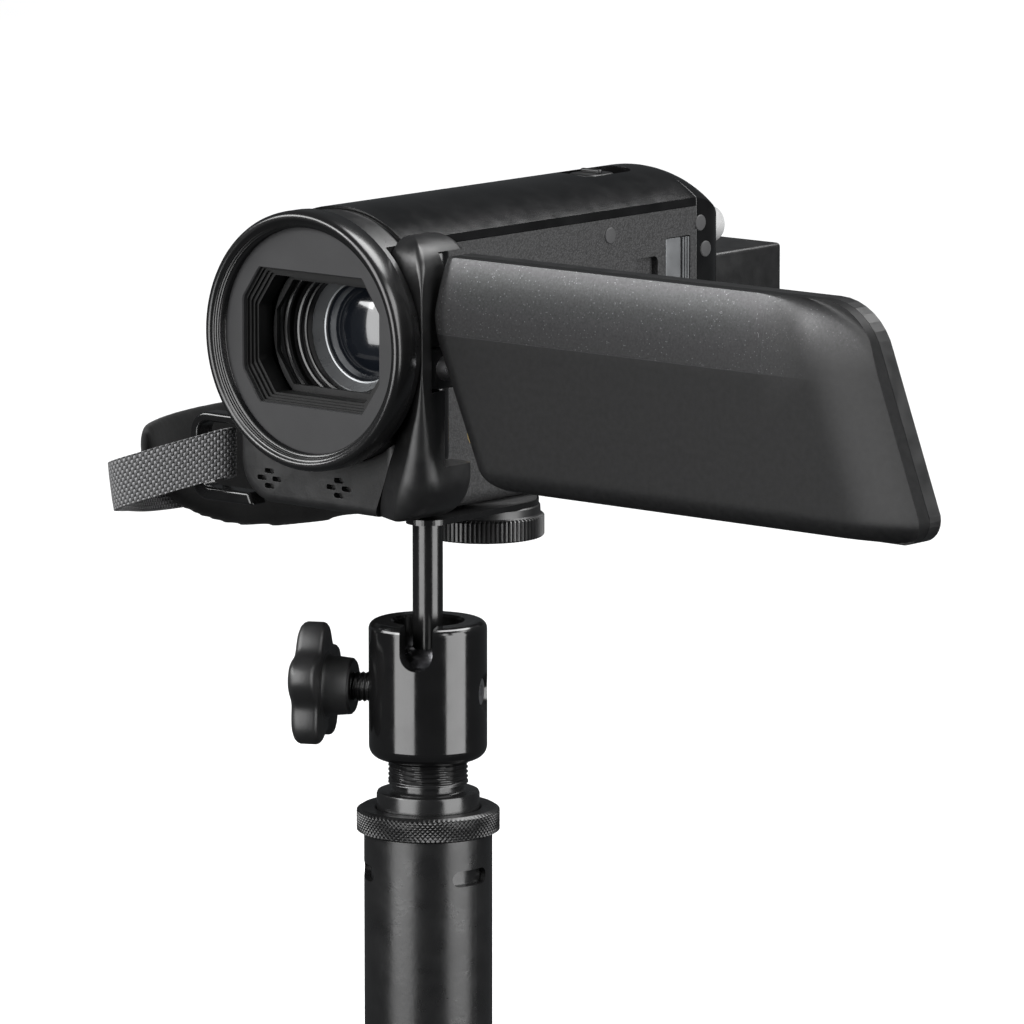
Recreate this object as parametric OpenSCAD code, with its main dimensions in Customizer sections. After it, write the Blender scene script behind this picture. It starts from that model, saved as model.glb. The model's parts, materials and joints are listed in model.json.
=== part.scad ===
// Camcorder with a side screen, clamped on a ball head that screws to a column on a folding table tripod.
// +Z is up, the lens looks along -Y and the screen side is +X. The origin is under the middle of the feet.

/* [Tripod] */
// Outside diameter of the column tube
tube_d = 25.4; // [24:0.2:28]
// Wall of the column tube
tube_wall = 1.2; // [1:0.1:2]
// Height of the lock ring's top face above the table
ring_z = 200; // [190:1:240]
// Distance from the column's axis to the middle of each foot
foot_reach = 150; // [148:1:160]
// Height of the leg hinges above the table
leg_pin_z = 58; // [54:1:66]
// Distance from the column's axis to the leg hinges
leg_pin_r = 24; // [23:0.5:28]

/* [Ball head] */
// Outside diameter of the ball's housing
housing_d = 23.4; // [22:0.2:26]
// Diameter of the ball
ball_d = 17; // [16:0.5:18]
// Diameter of the stem
stem_d = 6; // [5:0.1:6]
// Direction of the notch that the stem can drop into, from -Y towards +X
notch_turn = 29; // [0:1:60]
// Diameter of the thumb wheel under the camera plate
wheel_d = 24.2; // [22:0.2:25]

/* [Camcorder] */
// Outside diameter of the lens ring
ring_d = 51.4; // [50:0.2:52]
// Body length behind the lens ring's front edge
body_l = 113; // [110:1:118]
// Height of the screen panel
panel_h = 44.4; // [40:0.2:45]
// Thickness of the screen panel
panel_t = 9.5; // [9:0.1:10]
// Length of the battery behind the body
battery_l = 23; // [15:1:25]

/* [Hidden] */
$fn = 64;
gap = 0.05;

// Column and feet
leg_count = 3;
leg_angles = [90, 210, 330];
column = [0, -foot_reach / 4];
tube_r = tube_d / 2;
tube_inner_r = tube_r - tube_wall;
hub_r = 17.5;
hub_z0 = leg_pin_z - 12;
hub_z1 = leg_pin_z + 14;
hub_floor = 6;
leg_w = 7;
leg_h = 8;
leg_root_r = 6;
ear_t = 3;
ear_gap = leg_w + 0.4;
pin_r = 2;
foot_r = 7.5;
foot_h = 14;
foot_axis_z = 8;
leg_drop = atan((leg_pin_z - foot_axis_z) / (foot_reach - leg_pin_r));
leg_l = norm([leg_pin_z - foot_axis_z, foot_reach - leg_pin_r]);

// Ball head heights, above the lock ring's top face
collar_top = 3.3;
collar_r = 10.25;
neck_r = 7.1;
stud_r = 7.94;
stud_z0 = 4.9;
stud_z1 = 15.3;
housing_r = housing_d / 2;
housing_z0 = 9.8;
housing_z1 = 37.3;
housing_corner = 1.6;
ball_r = ball_d / 2;
ball_z = 24;
mouth_r = 6.8;
notch_w = stem_d + 0.6;
notch_z = 32.2;
clamp_z = 23.4;
clamp_offset = -91;
screw_r = 3;
hub_face_r = 15;
wing_face_r = 20.3;
wing_t = 5.8;
wing_waist_r = 9.2;
wing_tip_r = 3.4;
plate_z0 = 56.7;
plate_t = 1.1;
pad_t = 0.4;
pad_top = plate_z0 + plate_t + pad_t;
stem_r = stem_d / 2;
wheel_xy = [-7.5, 25.6];
wheel_r = wheel_d / 2;
wheel_h = 4.5;
wheel_step = 2;
plate_tip_r = 4.3;
plate_r = 11;
socket_r = 4.5;
camera_screw_r = 3.175;

// Camcorder frame: its origin is on the lens axis, just in front of the lens face plate
lens_xy = [-15.6, -17.6];
body_r = 25.6;
floor_z = -35;
lens_z = pad_top + gap - floor_z;
wall_x = 16;
wall_t = 1.6;
parting_z = 18.2;
seam_y = 10;
fascia_y = 7.6;
rear_y = 100;
ring_r = ring_d / 2;
mic_z = -30;
thread_r = 22.3;
seat_r = 23.2;
hood_r = 21.55;
lens_tube_r = 14.2;
window_w = 17.8;
window_h = 13.3;
window_cut = 4.4;
lip_y = -2.4;
thread_y0 = -0.95;
plate_y = 0.7;
hood_y = 1.7;
hood_step = 1.65;

// Screen: hinge axis, panel faces and outline
hinge = [17.8, 16];
panel_y = 7;
panel_x0 = 25.85;
panel_z1 = 18;
panel_z0 = panel_z1 - panel_h;
tilt_y = panel_y + panel_t / 2;
tilt_z = (panel_z0 + panel_z1) / 2;
knuckle_r = 3.6;
slot_z0 = -23.8;
slot_z1 = 18.3;
cover_x = 25.2;
cover_y0 = 5;
cover_y1 = 20.4;
jack_r = 3;
jack_bore_r = 1.8;
jack_l = 10;

// Hand strap
strap_c = [-27, 46];
strap_a = 38;
strap_b = 48;
strap_x = -28;
strap_mid_z = -25.7;
strap_w = 9.8;
strap_slope = 0.352;
lug_x = -38.3;
lug_z = [-36, -18.3];
lug_y = [9.3, 93.3];
pad_y = [9.5, 86];
pad_z = [-53, -22.5];
pad_belly = [66, 27];
pad_end_r = 10;

// ---- Outlines ----

function arc(c, r, a0, a1, n = 10) =
    [for (i = [0 : n]) c + r * [cos(a0 + (a1 - a0) * i / n), sin(a0 + (a1 - a0) * i / n)]];

// A box with its own radius at each corner: low-low, high-low, high-high, low-high
function rounded(lo, hi, r, n = 8) = concat(
    arc([lo[0] + r[0], lo[1] + r[0]], r[0], 180, 270, n),
    arc([hi[0] - r[1], lo[1] + r[1]], r[1], 270, 360, n),
    arc([hi[0] - r[2], hi[1] - r[2]], r[2], 0, 90, n),
    arc([lo[0] + r[3], hi[1] - r[3]], r[3], 90, 180, n));

// The body's cross-section: a round top over a flat screen wall and a flat floor
function body_section(inset = 0) = concat(
    arc([0, 0], body_r - inset, acos((wall_x - inset) / (body_r - inset)), 180, 28),
    arc([8 - body_r, floor_z + 8], 8 - inset, 180, 270, 8),
    arc([wall_x - 3, floor_z + 3], 3 - inset, 270, 360, 6));

// A band of width w around a path
function path_side(p, w) = [for (i = [0 : len(p) - 1])
    let (a = p[max(i - 1, 0)], b = p[min(i + 1, len(p) - 1)], d = (b - a) / norm(b - a))
    p[i] + w * [-d[1], d[0]]];
function reversed(p) = [for (i = [len(p) - 1 : -1 : 0]) p[i]];
function band(p, w) = concat(path_side(p, w / 2), reversed(path_side(p, -w / 2)));

// A round end of radius r0 at the origin, joined by tangents to one of radius r1 at c
function keyhole(r0, c, r1) =
    let (a = atan2(c[1], c[0]), b = acos((r0 - r1) / norm(c)))
    concat(arc([0, 0], r0, a + b, a + 360 - b, 20), arc(c, r1, a - b, a + b, 44));

// A point of the hand strap, by its angle round the hand from the lens end
function strap_point(t, grow = 0) =
    strap_c + [-(strap_a + grow) * sin(t), -(strap_b + grow) * cos(t)];

// The webbing's path from its end behind the front lug, out and round the pad, to its end at the rear lug
strap_path = concat(
    [[-34.5, 13.2], [-31, 12.2], [-28.8, 10], [-28.6, 7.2], [-30.5, 5], [-34, 3], [-38, 0.8],
        [-42, -1.2], [-46, -2.4], [-50, -2], [-53.4, 0.4], [-56, 4], [-57.6, 8]],
    [for (t = [50 : 8 : 146]) strap_point(t, 5)],
    [[-47, 93.3], [-42.5, 96], [-38, 97.9], [-33.5, 98.6], [-30.3, 97.4], [-28.7, 94.8], [-29, 91.8],
        [-31, 89.8], [-34.5, 88.9]]);

// The pad seen from the side: flat on top, with a deep round belly
pad_outline = let (r = pad_belly[1] - pad_z[0], low = acos((pad_y[1] - pad_end_r - pad_belly[0]) / (r - pad_end_r)))
    concat(
        arc([pad_y[0] + 4, pad_z[1] - 4], 4, 90, 180, 4),
        arc(pad_belly, r, 360 - acos((pad_y[0] - pad_belly[0]) / r), 360 - low, 12),
        arc([pad_y[1] - pad_end_r, pad_belly[1] - (r - pad_end_r) * sin(low)], pad_end_r, 360 - low, 360, 6),
        arc([pad_y[1] - pad_end_r, pad_z[1] - pad_end_r], pad_end_r, 0, 90, 5));

panel_outline = concat(
    arc([panel_x0 + 14, panel_z1 - 11], 14, 180, 205, 4),
    arc([43.5, panel_z0 + 7], 7, 205, 270, 6),
    arc([139, panel_z0 + 4.4], 4.4, 270, 372, 8),
    arc([119.5, panel_z1 - 13], 13, 17, 90, 8),
    arc([panel_x0 + 2, panel_z1 - 0.6], 0.6, 90, 170, 3));

// ---- Placing ----

module at_column(z = 0) {
    translate([column[0], column[1], z]) children();
}

module at_head() {
    at_column(ring_z) children();
}

module at_camera() {
    translate([column[0] + lens_xy[0], column[1] + lens_xy[1], ring_z + lens_z]) children();
}

// Extrudes an XZ outline backwards along Y, from y0 to y1
module along_y(y0, y1) {
    translate([0, y1, 0]) rotate([90, 0, 0]) linear_extrude(y1 - y0) children();
}

// Extrudes a YZ outline along X, from x0 to x1
module along_x(x0, x1) {
    translate([x0, 0, 0]) rotate([90, 0, 90]) linear_extrude(x1 - x0) children();
}

module along_z(z0, z1) {
    translate([0, 0, z0]) linear_extrude(z1 - z0) children();
}

// A rod along Y on the lens axis
module lens_rod(r, y0, y1) {
    translate([0, y0, 0]) rotate([-90, 0, 0]) cylinder(r = r, h = y1 - y0);
}

// The clamp screw's axis, pointing outwards along +X
module along_clamp(turn = 0) {
    at_head() translate([0, 0, clamp_z]) rotate([0, 0, notch_turn - 90 + clamp_offset + turn]) children();
}

module bar_x(r, x0, x1) {
    translate([x0, 0, 0]) rotate([0, 90, 0]) cylinder(r = r, h = x1 - x0);
}

module box(lo, hi) {
    translate(lo) cube(hi - lo);
}

// ---- Tripod ----

module at_leg(i) {
    at_column() rotate([0, 0, leg_angles[i]]) translate([leg_pin_r, 0, leg_pin_z]) children();
}

module tripod_hub() {
    color("#1b1c1e")
    difference() {
        union() {
            at_column(hub_z0) cylinder(r = hub_r, h = hub_z1 - hub_z0);
            for (i = [0 : leg_count - 1], side = [-1, 1])
                at_leg(i) translate([0, side * (ear_gap + ear_t) / 2, 0]) {
                    translate([leg_root_r / 2 - leg_pin_r / 2, 0, -leg_root_r / 2])
                        cube([leg_pin_r - leg_root_r, ear_t, leg_root_r * 3], center = true);
                    rotate([90, 0, 0]) cylinder(r = leg_root_r, h = ear_t, center = true);
                }
        }
        at_column(hub_z0 + hub_floor) cylinder(r = tube_r + gap, h = hub_z1);
        for (i = [0 : leg_count - 1]) {
            at_leg(i) rotate([90, 0, 0]) cylinder(r = pin_r, h = 30, center = true);
            at_leg(i) translate([-leg_root_r - 1, -ear_gap / 2, -30]) cube([30, ear_gap, 60]);
        }
    }
}

module leg_bar() {
    along_x(0, leg_l) polygon(rounded([-leg_w / 2, -leg_h / 2], [leg_w / 2, leg_h / 2], [2, 2, 2, 2], 4));
}

module leg(i) {
    color("#222326")
    at_leg(i) rotate([0, leg_drop, 0])
    difference() {
        union() {
            leg_bar();
            rotate([90, 0, 0]) cylinder(r = leg_root_r - 0.4, h = leg_w, center = true);
        }
        rotate([90, 0, 0]) cylinder(r = pin_r + gap, h = 30, center = true);
    }
}

module foot(i) {
    color("#141415")
    difference() {
        at_column() rotate([0, 0, leg_angles[i]]) translate([foot_reach, 0, 0]) rotate_extrude()
            polygon(concat([[0, 0]], arc([foot_r - 1, 1], 1, 270, 360, 4),
                arc([foot_r - 3, foot_h - 3], 3, 0, 90, 6), [[0, foot_h]]));
        at_leg(i) rotate([0, leg_drop, 0]) leg_bar();
    }
}

module leg_pins() {
    color("silver")
    for (i = [0 : leg_count - 1])
        at_leg(i) rotate([90, 0, 0]) cylinder(r = pin_r, h = ear_gap + 2 * ear_t, center = true);
}

module column_tube() {
    color("#1a1b1d")
    difference() {
        at_column(hub_z0 + hub_floor) cylinder(r = tube_r, h = ring_z - 1.1 - hub_z0 - hub_floor);
        at_column(hub_z0) cylinder(r = tube_inner_r, h = ring_z);
        for (turn = [-6.4, 113.6, 233.6])
            at_column(ring_z - 12.6) rotate([0, 0, turn]) {
                for (side = [-1, 1]) translate([0, side * 2.8, 0]) bar_x(1.6, 0, tube_d);
                translate([0, -2.8, -1.6]) cube([tube_d, 5.6, 3.2]);
            }
    }
}

module neck_fitting() {
    color("#1c1d1f")
    at_head() rotate_extrude()
        polygon([[0, -22], [tube_inner_r - gap, -22], [tube_inner_r - gap, -1.1], [collar_r, -1.1],
            [collar_r, collar_top - 0.5], [collar_r - 0.5, collar_top], [neck_r, collar_top],
            [neck_r, stud_z0], [stud_r, stud_z0 + 0.8], [stud_r, stud_z1 - 0.8],
            [stud_r - 0.8, stud_z1], [0, stud_z1]]);
}

module lock_ring() {
    color("#1b1c1e")
    at_head() rotate_extrude()
        polygon([[tube_r + gap, -5], [13.6, -5], [14.2, -4.4], [14.2, -0.6], [13.6, 0],
            [collar_r + gap, 0], [collar_r + gap, -1], [tube_r + gap, -1]]);
}

// ---- Ball head ----

module ball_housing() {
    color("#101113")
    difference() {
        at_head() rotate_extrude() polygon(concat(
            [[stud_r + gap, housing_z0], [housing_r - 2.6, housing_z0]],
            arc([housing_r - 2.6, housing_z0 + 2.6], 2.6, 290, 360, 6),
            arc([housing_r - housing_corner, housing_z1 - housing_corner], housing_corner, 0, 90, 6),
            [[mouth_r + 0.5, housing_z1], [mouth_r, housing_z1 - 0.5], [mouth_r, ball_z + 5.2]],
            arc([0, ball_z], ball_r + gap, 37, 0, 8),
            [[ball_r + gap, 16.4], [stud_r + gap, 16.4]]));
        at_head() rotate([0, 0, notch_turn - 90]) {
            translate([0, 0, notch_z]) bar_x(notch_w / 2, 0, housing_d);
            translate([0, -notch_w / 2, notch_z]) cube([housing_d, notch_w, housing_d]);
        }
        along_clamp() bar_x(screw_r + 0.03, 0, housing_d);
        along_clamp(180) {
            bar_x(2.6, 0, housing_d);
            translate([housing_r - 1.6, 0, 0]) rotate([0, 90, 0]) cylinder(r1 = 2.6, r2 = 4.2, h = 1.61);
        }
    }
}

module ball_seat() {
    color("ivory")
    at_head() rotate_extrude() polygon(concat(
        [[4.4, 16.5], [ball_r, 16.5], [ball_r, 19.5]],
        arc([0, ball_z], ball_r + gap, 327, 305, 6)));
}

module ball() {
    color("gray")
    difference() {
        at_head() translate([0, 0, ball_z]) sphere(r = ball_r);
        at_head() translate([0, 0, ball_z + 1]) cylinder(r = stem_r + gap, h = ball_r);
        at_head() translate([0, 0, ball_z]) rotate([0, 0, notch_turn]) for (side = [-1, 1])
            translate([side * (ball_r - 1), 0, 0]) bar_x(0.8, -1, 1.2);
    }
}

module stem() {
    color("#1b1c1e")
    at_head() translate([0, 0, ball_z + 1.2]) cylinder(r = stem_r, h = plate_z0 + plate_t - ball_z - 1.2);
}

module set_screw() {
    color("silver")
    difference() {
        along_clamp(180) bar_x(2.6, ball_r + 0.1, housing_r - 0.9);
        along_clamp(180) translate([housing_r - 2.9, 0, 0]) rotate([0, 90, 0])
            cylinder(r = 1.45, h = 4, $fn = 6);
    }
}

module clamp_screw() {
    color("#3a3b3d")
    along_clamp() bar_x(screw_r, ball_r + 0.1, wing_face_r - 1);
}

module clamp_knob() {
    color("#232426")
    difference() {
        along_clamp() {
            translate([hub_face_r, 0, 0]) rotate([0, 90, 0])
                cylinder(r1 = 5.6, r2 = 6.3, h = wing_face_r - hub_face_r);
            translate([wing_face_r, 0, 0]) rotate([0, 90, 0]) linear_extrude(wing_t) {
                circle(r = wing_waist_r);
                for (k = [0 : 4]) rotate(180 + 72 * k) translate([wing_waist_r, 0]) circle(r = wing_tip_r);
            }
        }
        along_clamp() bar_x(screw_r, 0, wing_face_r - 1);
    }
}

module camera_plate() {
    color("#151618")
    difference() {
        at_head() along_z(plate_z0, plate_z0 + plate_t) polygon(keyhole(plate_tip_r, wheel_xy, plate_r));
        at_head() cylinder(r = stem_r, h = 100);
        at_head() translate(wheel_xy) cylinder(r = camera_screw_r + 0.2, h = 100);
    }
}

module plate_pad() {
    color("#2a2a2a")
    at_head() along_z(plate_z0 + plate_t, pad_top)
    difference() {
        translate(wheel_xy) circle(r = plate_r - 0.4);
        translate(wheel_xy) circle(r = camera_screw_r + 1);
    }
}

module thumb_wheel() {
    color("#232426")
    at_head() translate([wheel_xy[0], wheel_xy[1], plate_z0 - gap]) rotate_extrude()
        polygon([[camera_screw_r, -wheel_step - wheel_h], [wheel_r - 0.5, -wheel_step - wheel_h],
            [wheel_r, 0.5 - wheel_step - wheel_h], [wheel_r, -wheel_step - 0.3],
            [wheel_r - 0.3, -wheel_step], [wheel_r - 0.7, -wheel_step], [wheel_r - 0.9, 0],
            [camera_screw_r, 0]]);
}

module camera_screw() {
    color("silver")
    at_head() translate([wheel_xy[0], wheel_xy[1], plate_z0 - gap - wheel_step - wheel_h])
        cylinder(r = camera_screw_r, h = wheel_step + wheel_h + plate_t + pad_t + 5);
}

// ---- Camcorder body ----

module tripod_socket() {
    color("silver")
    at_head() translate([wheel_xy[0], wheel_xy[1], pad_top + gap])
    difference() {
        cylinder(r = socket_r, h = 6);
        translate([0, 0, -1]) cylinder(r = camera_screw_r + gap, h = 6.5);
    }
}

// The whole body's outside, between two planes across its length
module body_block(inset, y0, y1) {
    intersection() {
        along_y(y0, y1) polygon(body_section(inset));
        along_x(-40, 40) polygon(rounded([-10, floor_z + inset], [body_l - inset, body_r - inset],
            [0.1, 8, 15, 0.1]));
        along_z(floor_z, body_r) polygon(rounded([-body_r - 1, -10], [wall_x - inset, body_l - inset],
            [0.1, 0.1, 10, 14]));
    }
}

module body_shell(y0, y1) {
    difference() {
        body_block(0, y0, y1);
        body_block(wall_t, -1, body_l);
    }
}

module socket_hole() {
    translate([wheel_xy[0] - lens_xy[0], wheel_xy[1] - lens_xy[1], floor_z - 1]) cylinder(r = socket_r, h = 8);
}

// The screen wall's outside face, at the microphone jack and at the power button
module at_jack() {
    translate([wall_x, 32, -20]) children();
}

module at_power() {
    translate([wall_x, 60, 0]) children();
}

module main_shell() {
    color("#26272a")
    at_camera() difference() {
        body_shell(seam_y, rear_y);
        box([-40, 0, parting_z], [40, body_l, 40]);
        socket_hole();
        translate([hinge[0], hinge[1], slot_z0]) cylinder(r = knuckle_r + 0.3, h = slot_z1 - slot_z0);
        at_jack() bar_x(jack_r + gap, -4, 2);
        along_x(wall_x - 0.8, wall_x + 1) polygon(rounded([90.5, 2.4], [95.5, 12.4], [0.5, 0.5, 0.5, 0.5], 3));
        at_power() bar_x(2.6, -4, 2);
    }
}

module top_cover() {
    color("#0e0f10")
    at_camera() difference() {
        body_shell(seam_y, rear_y);
        box([-40, 0, -40], [40, body_l, parting_z + gap]);
        along_z(0, 40) polygon(rounded([-5, 78], [5, 94], [2, 2, 2, 2], 4));
    }
}

module front_fascia() {
    color("#26272a")
    at_camera() difference() {
        along_y(fascia_y, seam_y - gap) polygon(body_section(0));
        lens_rod(body_r - 0.55, 0, 20);
        box([-40, 0, -8], [40, 20, 40]);
        for (x = [-17.3, 1.1], place = [[-2, 0], [2, 0], [0, 1.5], [0, -1.5]])
            translate([x + place[0], fascia_y, mic_z + place[1]]) cube([1.9, 3, 0.9], center = true);
        box([wall_x, 0, -40], [40, 40, 40]);
    }
}

module rear_cover() {
    color("#1d1e20")
    at_camera() difference() {
        body_block(0, rear_y + gap, body_l);
        body_block(wall_t, 0, body_l);
        translate([8, body_l - 4, 12.5]) rotate([-90, 0, 0]) cylinder(r = 4.2, h = 10);
        translate([-9, body_l - 4, 12.5]) rotate([-90, 0, 0]) cylinder(r = 2.7, h = 10);
    }
}

module lens_barrel() {
    color("#17181a")
    at_camera() difference() {
        lens_rod(body_r - 0.6, 3, seam_y - gap);
        lens_rod(seat_r, 2, seam_y);
        box([wall_x, cover_y0 - gap, -40], [40, 40, 40]);
    }
}

module lens_ring() {
    color("#0d0e0f")
    at_camera() rotate([-90, 0, 0]) rotate_extrude()
        polygon([[thread_r, thread_y0], [thread_r + 1.3, lip_y], [ring_r - 1.2, lip_y], [ring_r - 0.35, lip_y + 0.4],
            [ring_r, lip_y + 1.2], [ring_r, 3], [seat_r, 3], [seat_r, plate_y - gap], [thread_r, plate_y - gap]]);
}

module octagon(grow) {
    w = window_w + grow;
    h = window_h + grow;
    polygon([[w, h - 6.3], [w - window_cut, h], [window_cut - w, h], [-w, h - 6.3],
        [-w, 6.3 - h], [window_cut - w, -h], [w - window_cut, -h], [w, 6.3 - h]]);
}

module lens_face_plate() {
    color("#3a3b3d")
    at_camera() difference() {
        lens_rod(seat_r - gap, plate_y, hood_y);
        along_y(-1, 10) octagon(0);
    }
}

module lens_hood() {
    color("#0c0c0d")
    at_camera() for (step = [0 : 3]) difference() {
        lens_rod(step < 3 ? hood_r : wall_x - 0.2, hood_y + step * hood_step,
            hood_y + (step + 1) * hood_step);
        along_y(0, 20) octagon(-0.9 * (step + 1));
    }
}

module lens_tube() {
    color("#161618")
    at_camera() difference() {
        union() {
            lens_rod(lens_tube_r, seam_y + 0.7, 50);
            lens_rod(lens_tube_r - 1, 50, 72);
        }
        lens_rod(lens_tube_r - 1.2, 0, 48);
        lens_rod(lens_tube_r - 2.2, 40, 73);
    }
}

module lens_disc(r, y, bulge) {
    at_camera() translate([0, y, 0]) rotate([-90, 0, 0]) rotate_extrude()
        polygon(concat([[0, 4]], [[r, 4], [r, 0]],
            [for (i = [1 : 10]) [r * (1 - i / 10), -bulge * (1 - pow(1 - i / 10, 2))]]));
}

module front_lens() {
    color("#20242c") lens_disc(lens_tube_r - 1.25, 16, 3);
}

module zoom_lens() {
    color("#2a2f36") lens_disc(lens_tube_r - 1.25, 32, 1.6);
}

module rear_lens() {
    color("#2a2f36") lens_disc(lens_tube_r - 2.25, 56, 1.2);
}

module image_sensor() {
    color("#1d3a24")
    at_camera() {
        box([-13, 72.1, -13], [13, 73.7, 13]);
        box([-4, 70.9, -3], [4, 72.1, 3]);
    }
}

module main_board() {
    color("#17462a")
    at_camera() {
        box([-20, 76, -28], [11, 77.6, 12]);
        for (k = [0 : 2]) box([-15 + 9 * k, 77.6, -20], [-9 + 9 * k, 79.2, -12]);
    }
}

module hinge_cover() {
    color("#232427")
    at_camera() difference() {
        intersection() {
            along_y(cover_y0, cover_y1)
                polygon(rounded([0, floor_z], [cover_x, 21], [0.1, 9, 7, 0.1]));
            along_z(-40, 40) polygon(rounded([0, cover_y0], [cover_x, cover_y1], [0.1, 4, 1.5, 0.1], 6));
        }
        box([-40, 0, -40], [wall_x + gap, 40, 40]);
        lens_rod(hood_r + 0.15, 0, 11.6);
        box([wall_x - 2, 11.6, slot_z0], [40, 40, slot_z1]);
        box([wall_x, 7.6, tilt_z - 5.2], [40, 40, tilt_z + 5.2]);
        translate([hinge[0], hinge[1], -40]) cylinder(r = 1.5, h = 80);
    }
}

module hinge_pin() {
    color("silver")
    at_camera() translate([hinge[0], hinge[1], slot_z0 - 5])
        cylinder(r = 1.5, h = slot_z1 - slot_z0 + 7);
}

module hinge_block() {
    color("#1a1b1d")
    at_camera() difference() {
        union() {
            translate([hinge[0], hinge[1], slot_z0 + 0.3])
                cylinder(r = knuckle_r, h = slot_z1 - slot_z0 - 0.6);
            box([hinge[0], tilt_y - 3.4, tilt_z - 4.2], [panel_x0 - 0.6, hinge[1] + 1.2, tilt_z + 4.2]);
            translate([0, tilt_y, tilt_z]) bar_x(2.4, panel_x0 - 2, panel_x0 + 12);
        }
        translate([hinge[0], hinge[1], -40]) cylinder(r = 1.55, h = 80);
    }
}

// ---- Screen panel ----

module tilt_bore() {
    translate([0, tilt_y, tilt_z]) bar_x(2.45, 0, panel_x0 + 12.5);
}

module screen_cover() {
    color("#1f2023")
    at_camera() difference() {
        along_y(panel_y, panel_y + 6) polygon(panel_outline);
        along_y(panel_y + 1.6, 20) polygon(rounded([46, panel_z0 + 2.5], [124, panel_z1 - 2],
            [2, 2, 2, 2], 4));
        tilt_bore();
    }
}

module screen_bezel() {
    color("#151618")
    at_camera() difference() {
        along_y(panel_y + 6 + gap, panel_y + panel_t) polygon(panel_outline);
        along_y(0, 20) polygon(rounded([50, panel_z0 + 3.6], [120, panel_z1 - 3], [1, 1, 1, 1], 3));
        tilt_bore();
    }
}

module screen_module() {
    color("#2b2d30")
    at_camera() box([50.3, panel_y + 2, panel_z0 + 3.9], [119.7, panel_y + 7.6, panel_z1 - 3.3]);
}

module screen_glass() {
    color("#08090b")
    at_camera() along_y(panel_y + 7.7, panel_y + panel_t - 0.3)
        polygon(rounded([50.1, panel_z0 + 3.7], [119.9, panel_z1 - 3.1], [1, 1, 1, 1], 3));
}

// ---- Controls ----

module zoom_lever() {
    color("#1a1b1c")
    at_camera() translate([0, 86, 21]) {
        along_z(0, 4.9) polygon(rounded([-3.6, -4], [3.6, 4], [2, 2, 2, 2], 4));
        translate([-1, -0.6, 4.9]) cube([2, 1.2, 1]);
    }
}

module record_button() {
    color("silver")
    at_camera() translate([8, body_l - 3, 12.5]) rotate([-90, 0, 0]) {
        cylinder(r = 4, h = 5.2);
        translate([0, 0, -1]) cylinder(r = 2, h = 1);
    }
}

module power_button() {
    color("#2c2d2f")
    at_camera() at_power() bar_x(2.4, -2.2, 0.3);
}

module wall_bumpers() {
    color("#2b2c2e")
    at_camera() for (p = [[72.8, 14.8], [101.3, 14.6], [103, 9.1]])
        translate([wall_x, p[0], p[1]]) rotate([0, 90, 0]) cylinder(r = 1.65, h = 0.4);
}

module side_plate() {
    color("#8b8d90")
    at_camera() along_x(wall_x - 0.8, wall_x + 0.2)
        polygon(rounded([90.6, 2.5], [95.4, 12.3], [0.5, 0.5, 0.5, 0.5], 3));
}

module mic_jack() {
    color("#b08d3a")
    at_camera() at_jack() difference() {
        bar_x(jack_r, -jack_l, 0);
        bar_x(jack_bore_r, 1 - jack_l, 1);
    }
}

module battery_pack() {
    color("#101112")
    at_camera() along_z(-22, 6.2)
        polygon(rounded([-22, body_l + 0.3], [8, body_l + battery_l + 2.4], [1, 1, 2.5, 2.5], 5));
}

module battery_latch() {
    color("#2c2d2f")
    at_camera() translate([-9, body_l - 3, 12.5]) rotate([-90, 0, 0]) cylinder(r = 2.5, h = 4.2);
}

// ---- Hand strap ----

module strap_pad() {
    color("#17171a")
    at_camera() intersection() {
        along_z(pad_z[0], pad_z[1]) polygon(band([for (t = [30 : 8 : 150]) strap_point(t)], 6));
        along_x(-80, -20) polygon(pad_outline);
    }
}

module strap_webbing() {
    color("#3b3c3e")
    at_camera() multmatrix([[1, 0, 0, 0], [0, 1, 0, 0], [strap_slope, 0, 1, strap_mid_z - strap_slope * strap_x]])
        along_z(-strap_w / 2, strap_w / 2) polygon(band(strap_path, 1.3));
}

// A plastic loop standing out from the grip side, that the webbing passes through
module lug(y) {
    at_camera() difference() {
        along_y(y - 2.3, y + 2.3) polygon(rounded([lug_x, lug_z[0]], [-21, lug_z[1]], [4.5, 0.1, 0.1, 4.5], 5));
        along_y(y - 3, y + 3) polygon(rounded([lug_x + 2.4, lug_z[0] + 2.6], [-10, lug_z[1] - 1.9],
            [2.4, 0.1, 0.1, 2.4], 5));
        along_y(y - 3, y + 3) polygon(body_section(-gap));
    }
}

module front_lug() {
    color("#1a1b1c") lug(lug_y[0]);
}

module rear_lug() {
    color("#1a1b1c") lug(lug_y[1]);
}

tripod_hub();
leg(0);  // leg_1
leg(1);  // leg_2
leg(2);  // leg_3
foot(0);  // foot_1
foot(1);  // foot_2
foot(2);  // foot_3
leg_pins();
column_tube();
neck_fitting();
lock_ring();
ball_housing();
ball_seat();
set_screw();
clamp_screw();
clamp_knob();
ball();
stem();
camera_plate();
plate_pad();
thumb_wheel();
camera_screw();
tripod_socket();
main_shell();
top_cover();
front_fascia();
rear_cover();
lens_barrel();
lens_ring();
lens_face_plate();
lens_hood();
lens_tube();
front_lens();
zoom_lens();
rear_lens();
image_sensor();
main_board();
hinge_cover();
hinge_pin();
hinge_block();
screen_cover();
screen_bezel();
screen_module();
screen_glass();
zoom_lever();
record_button();
power_button();
wall_bumpers();
side_plate();
mic_jack();
battery_pack();
battery_latch();
strap_pad();
strap_webbing();
front_lug();
rear_lug();
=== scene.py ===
import bpy
import bmesh
import json
import math
from mathutils import Matrix, Vector


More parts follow.
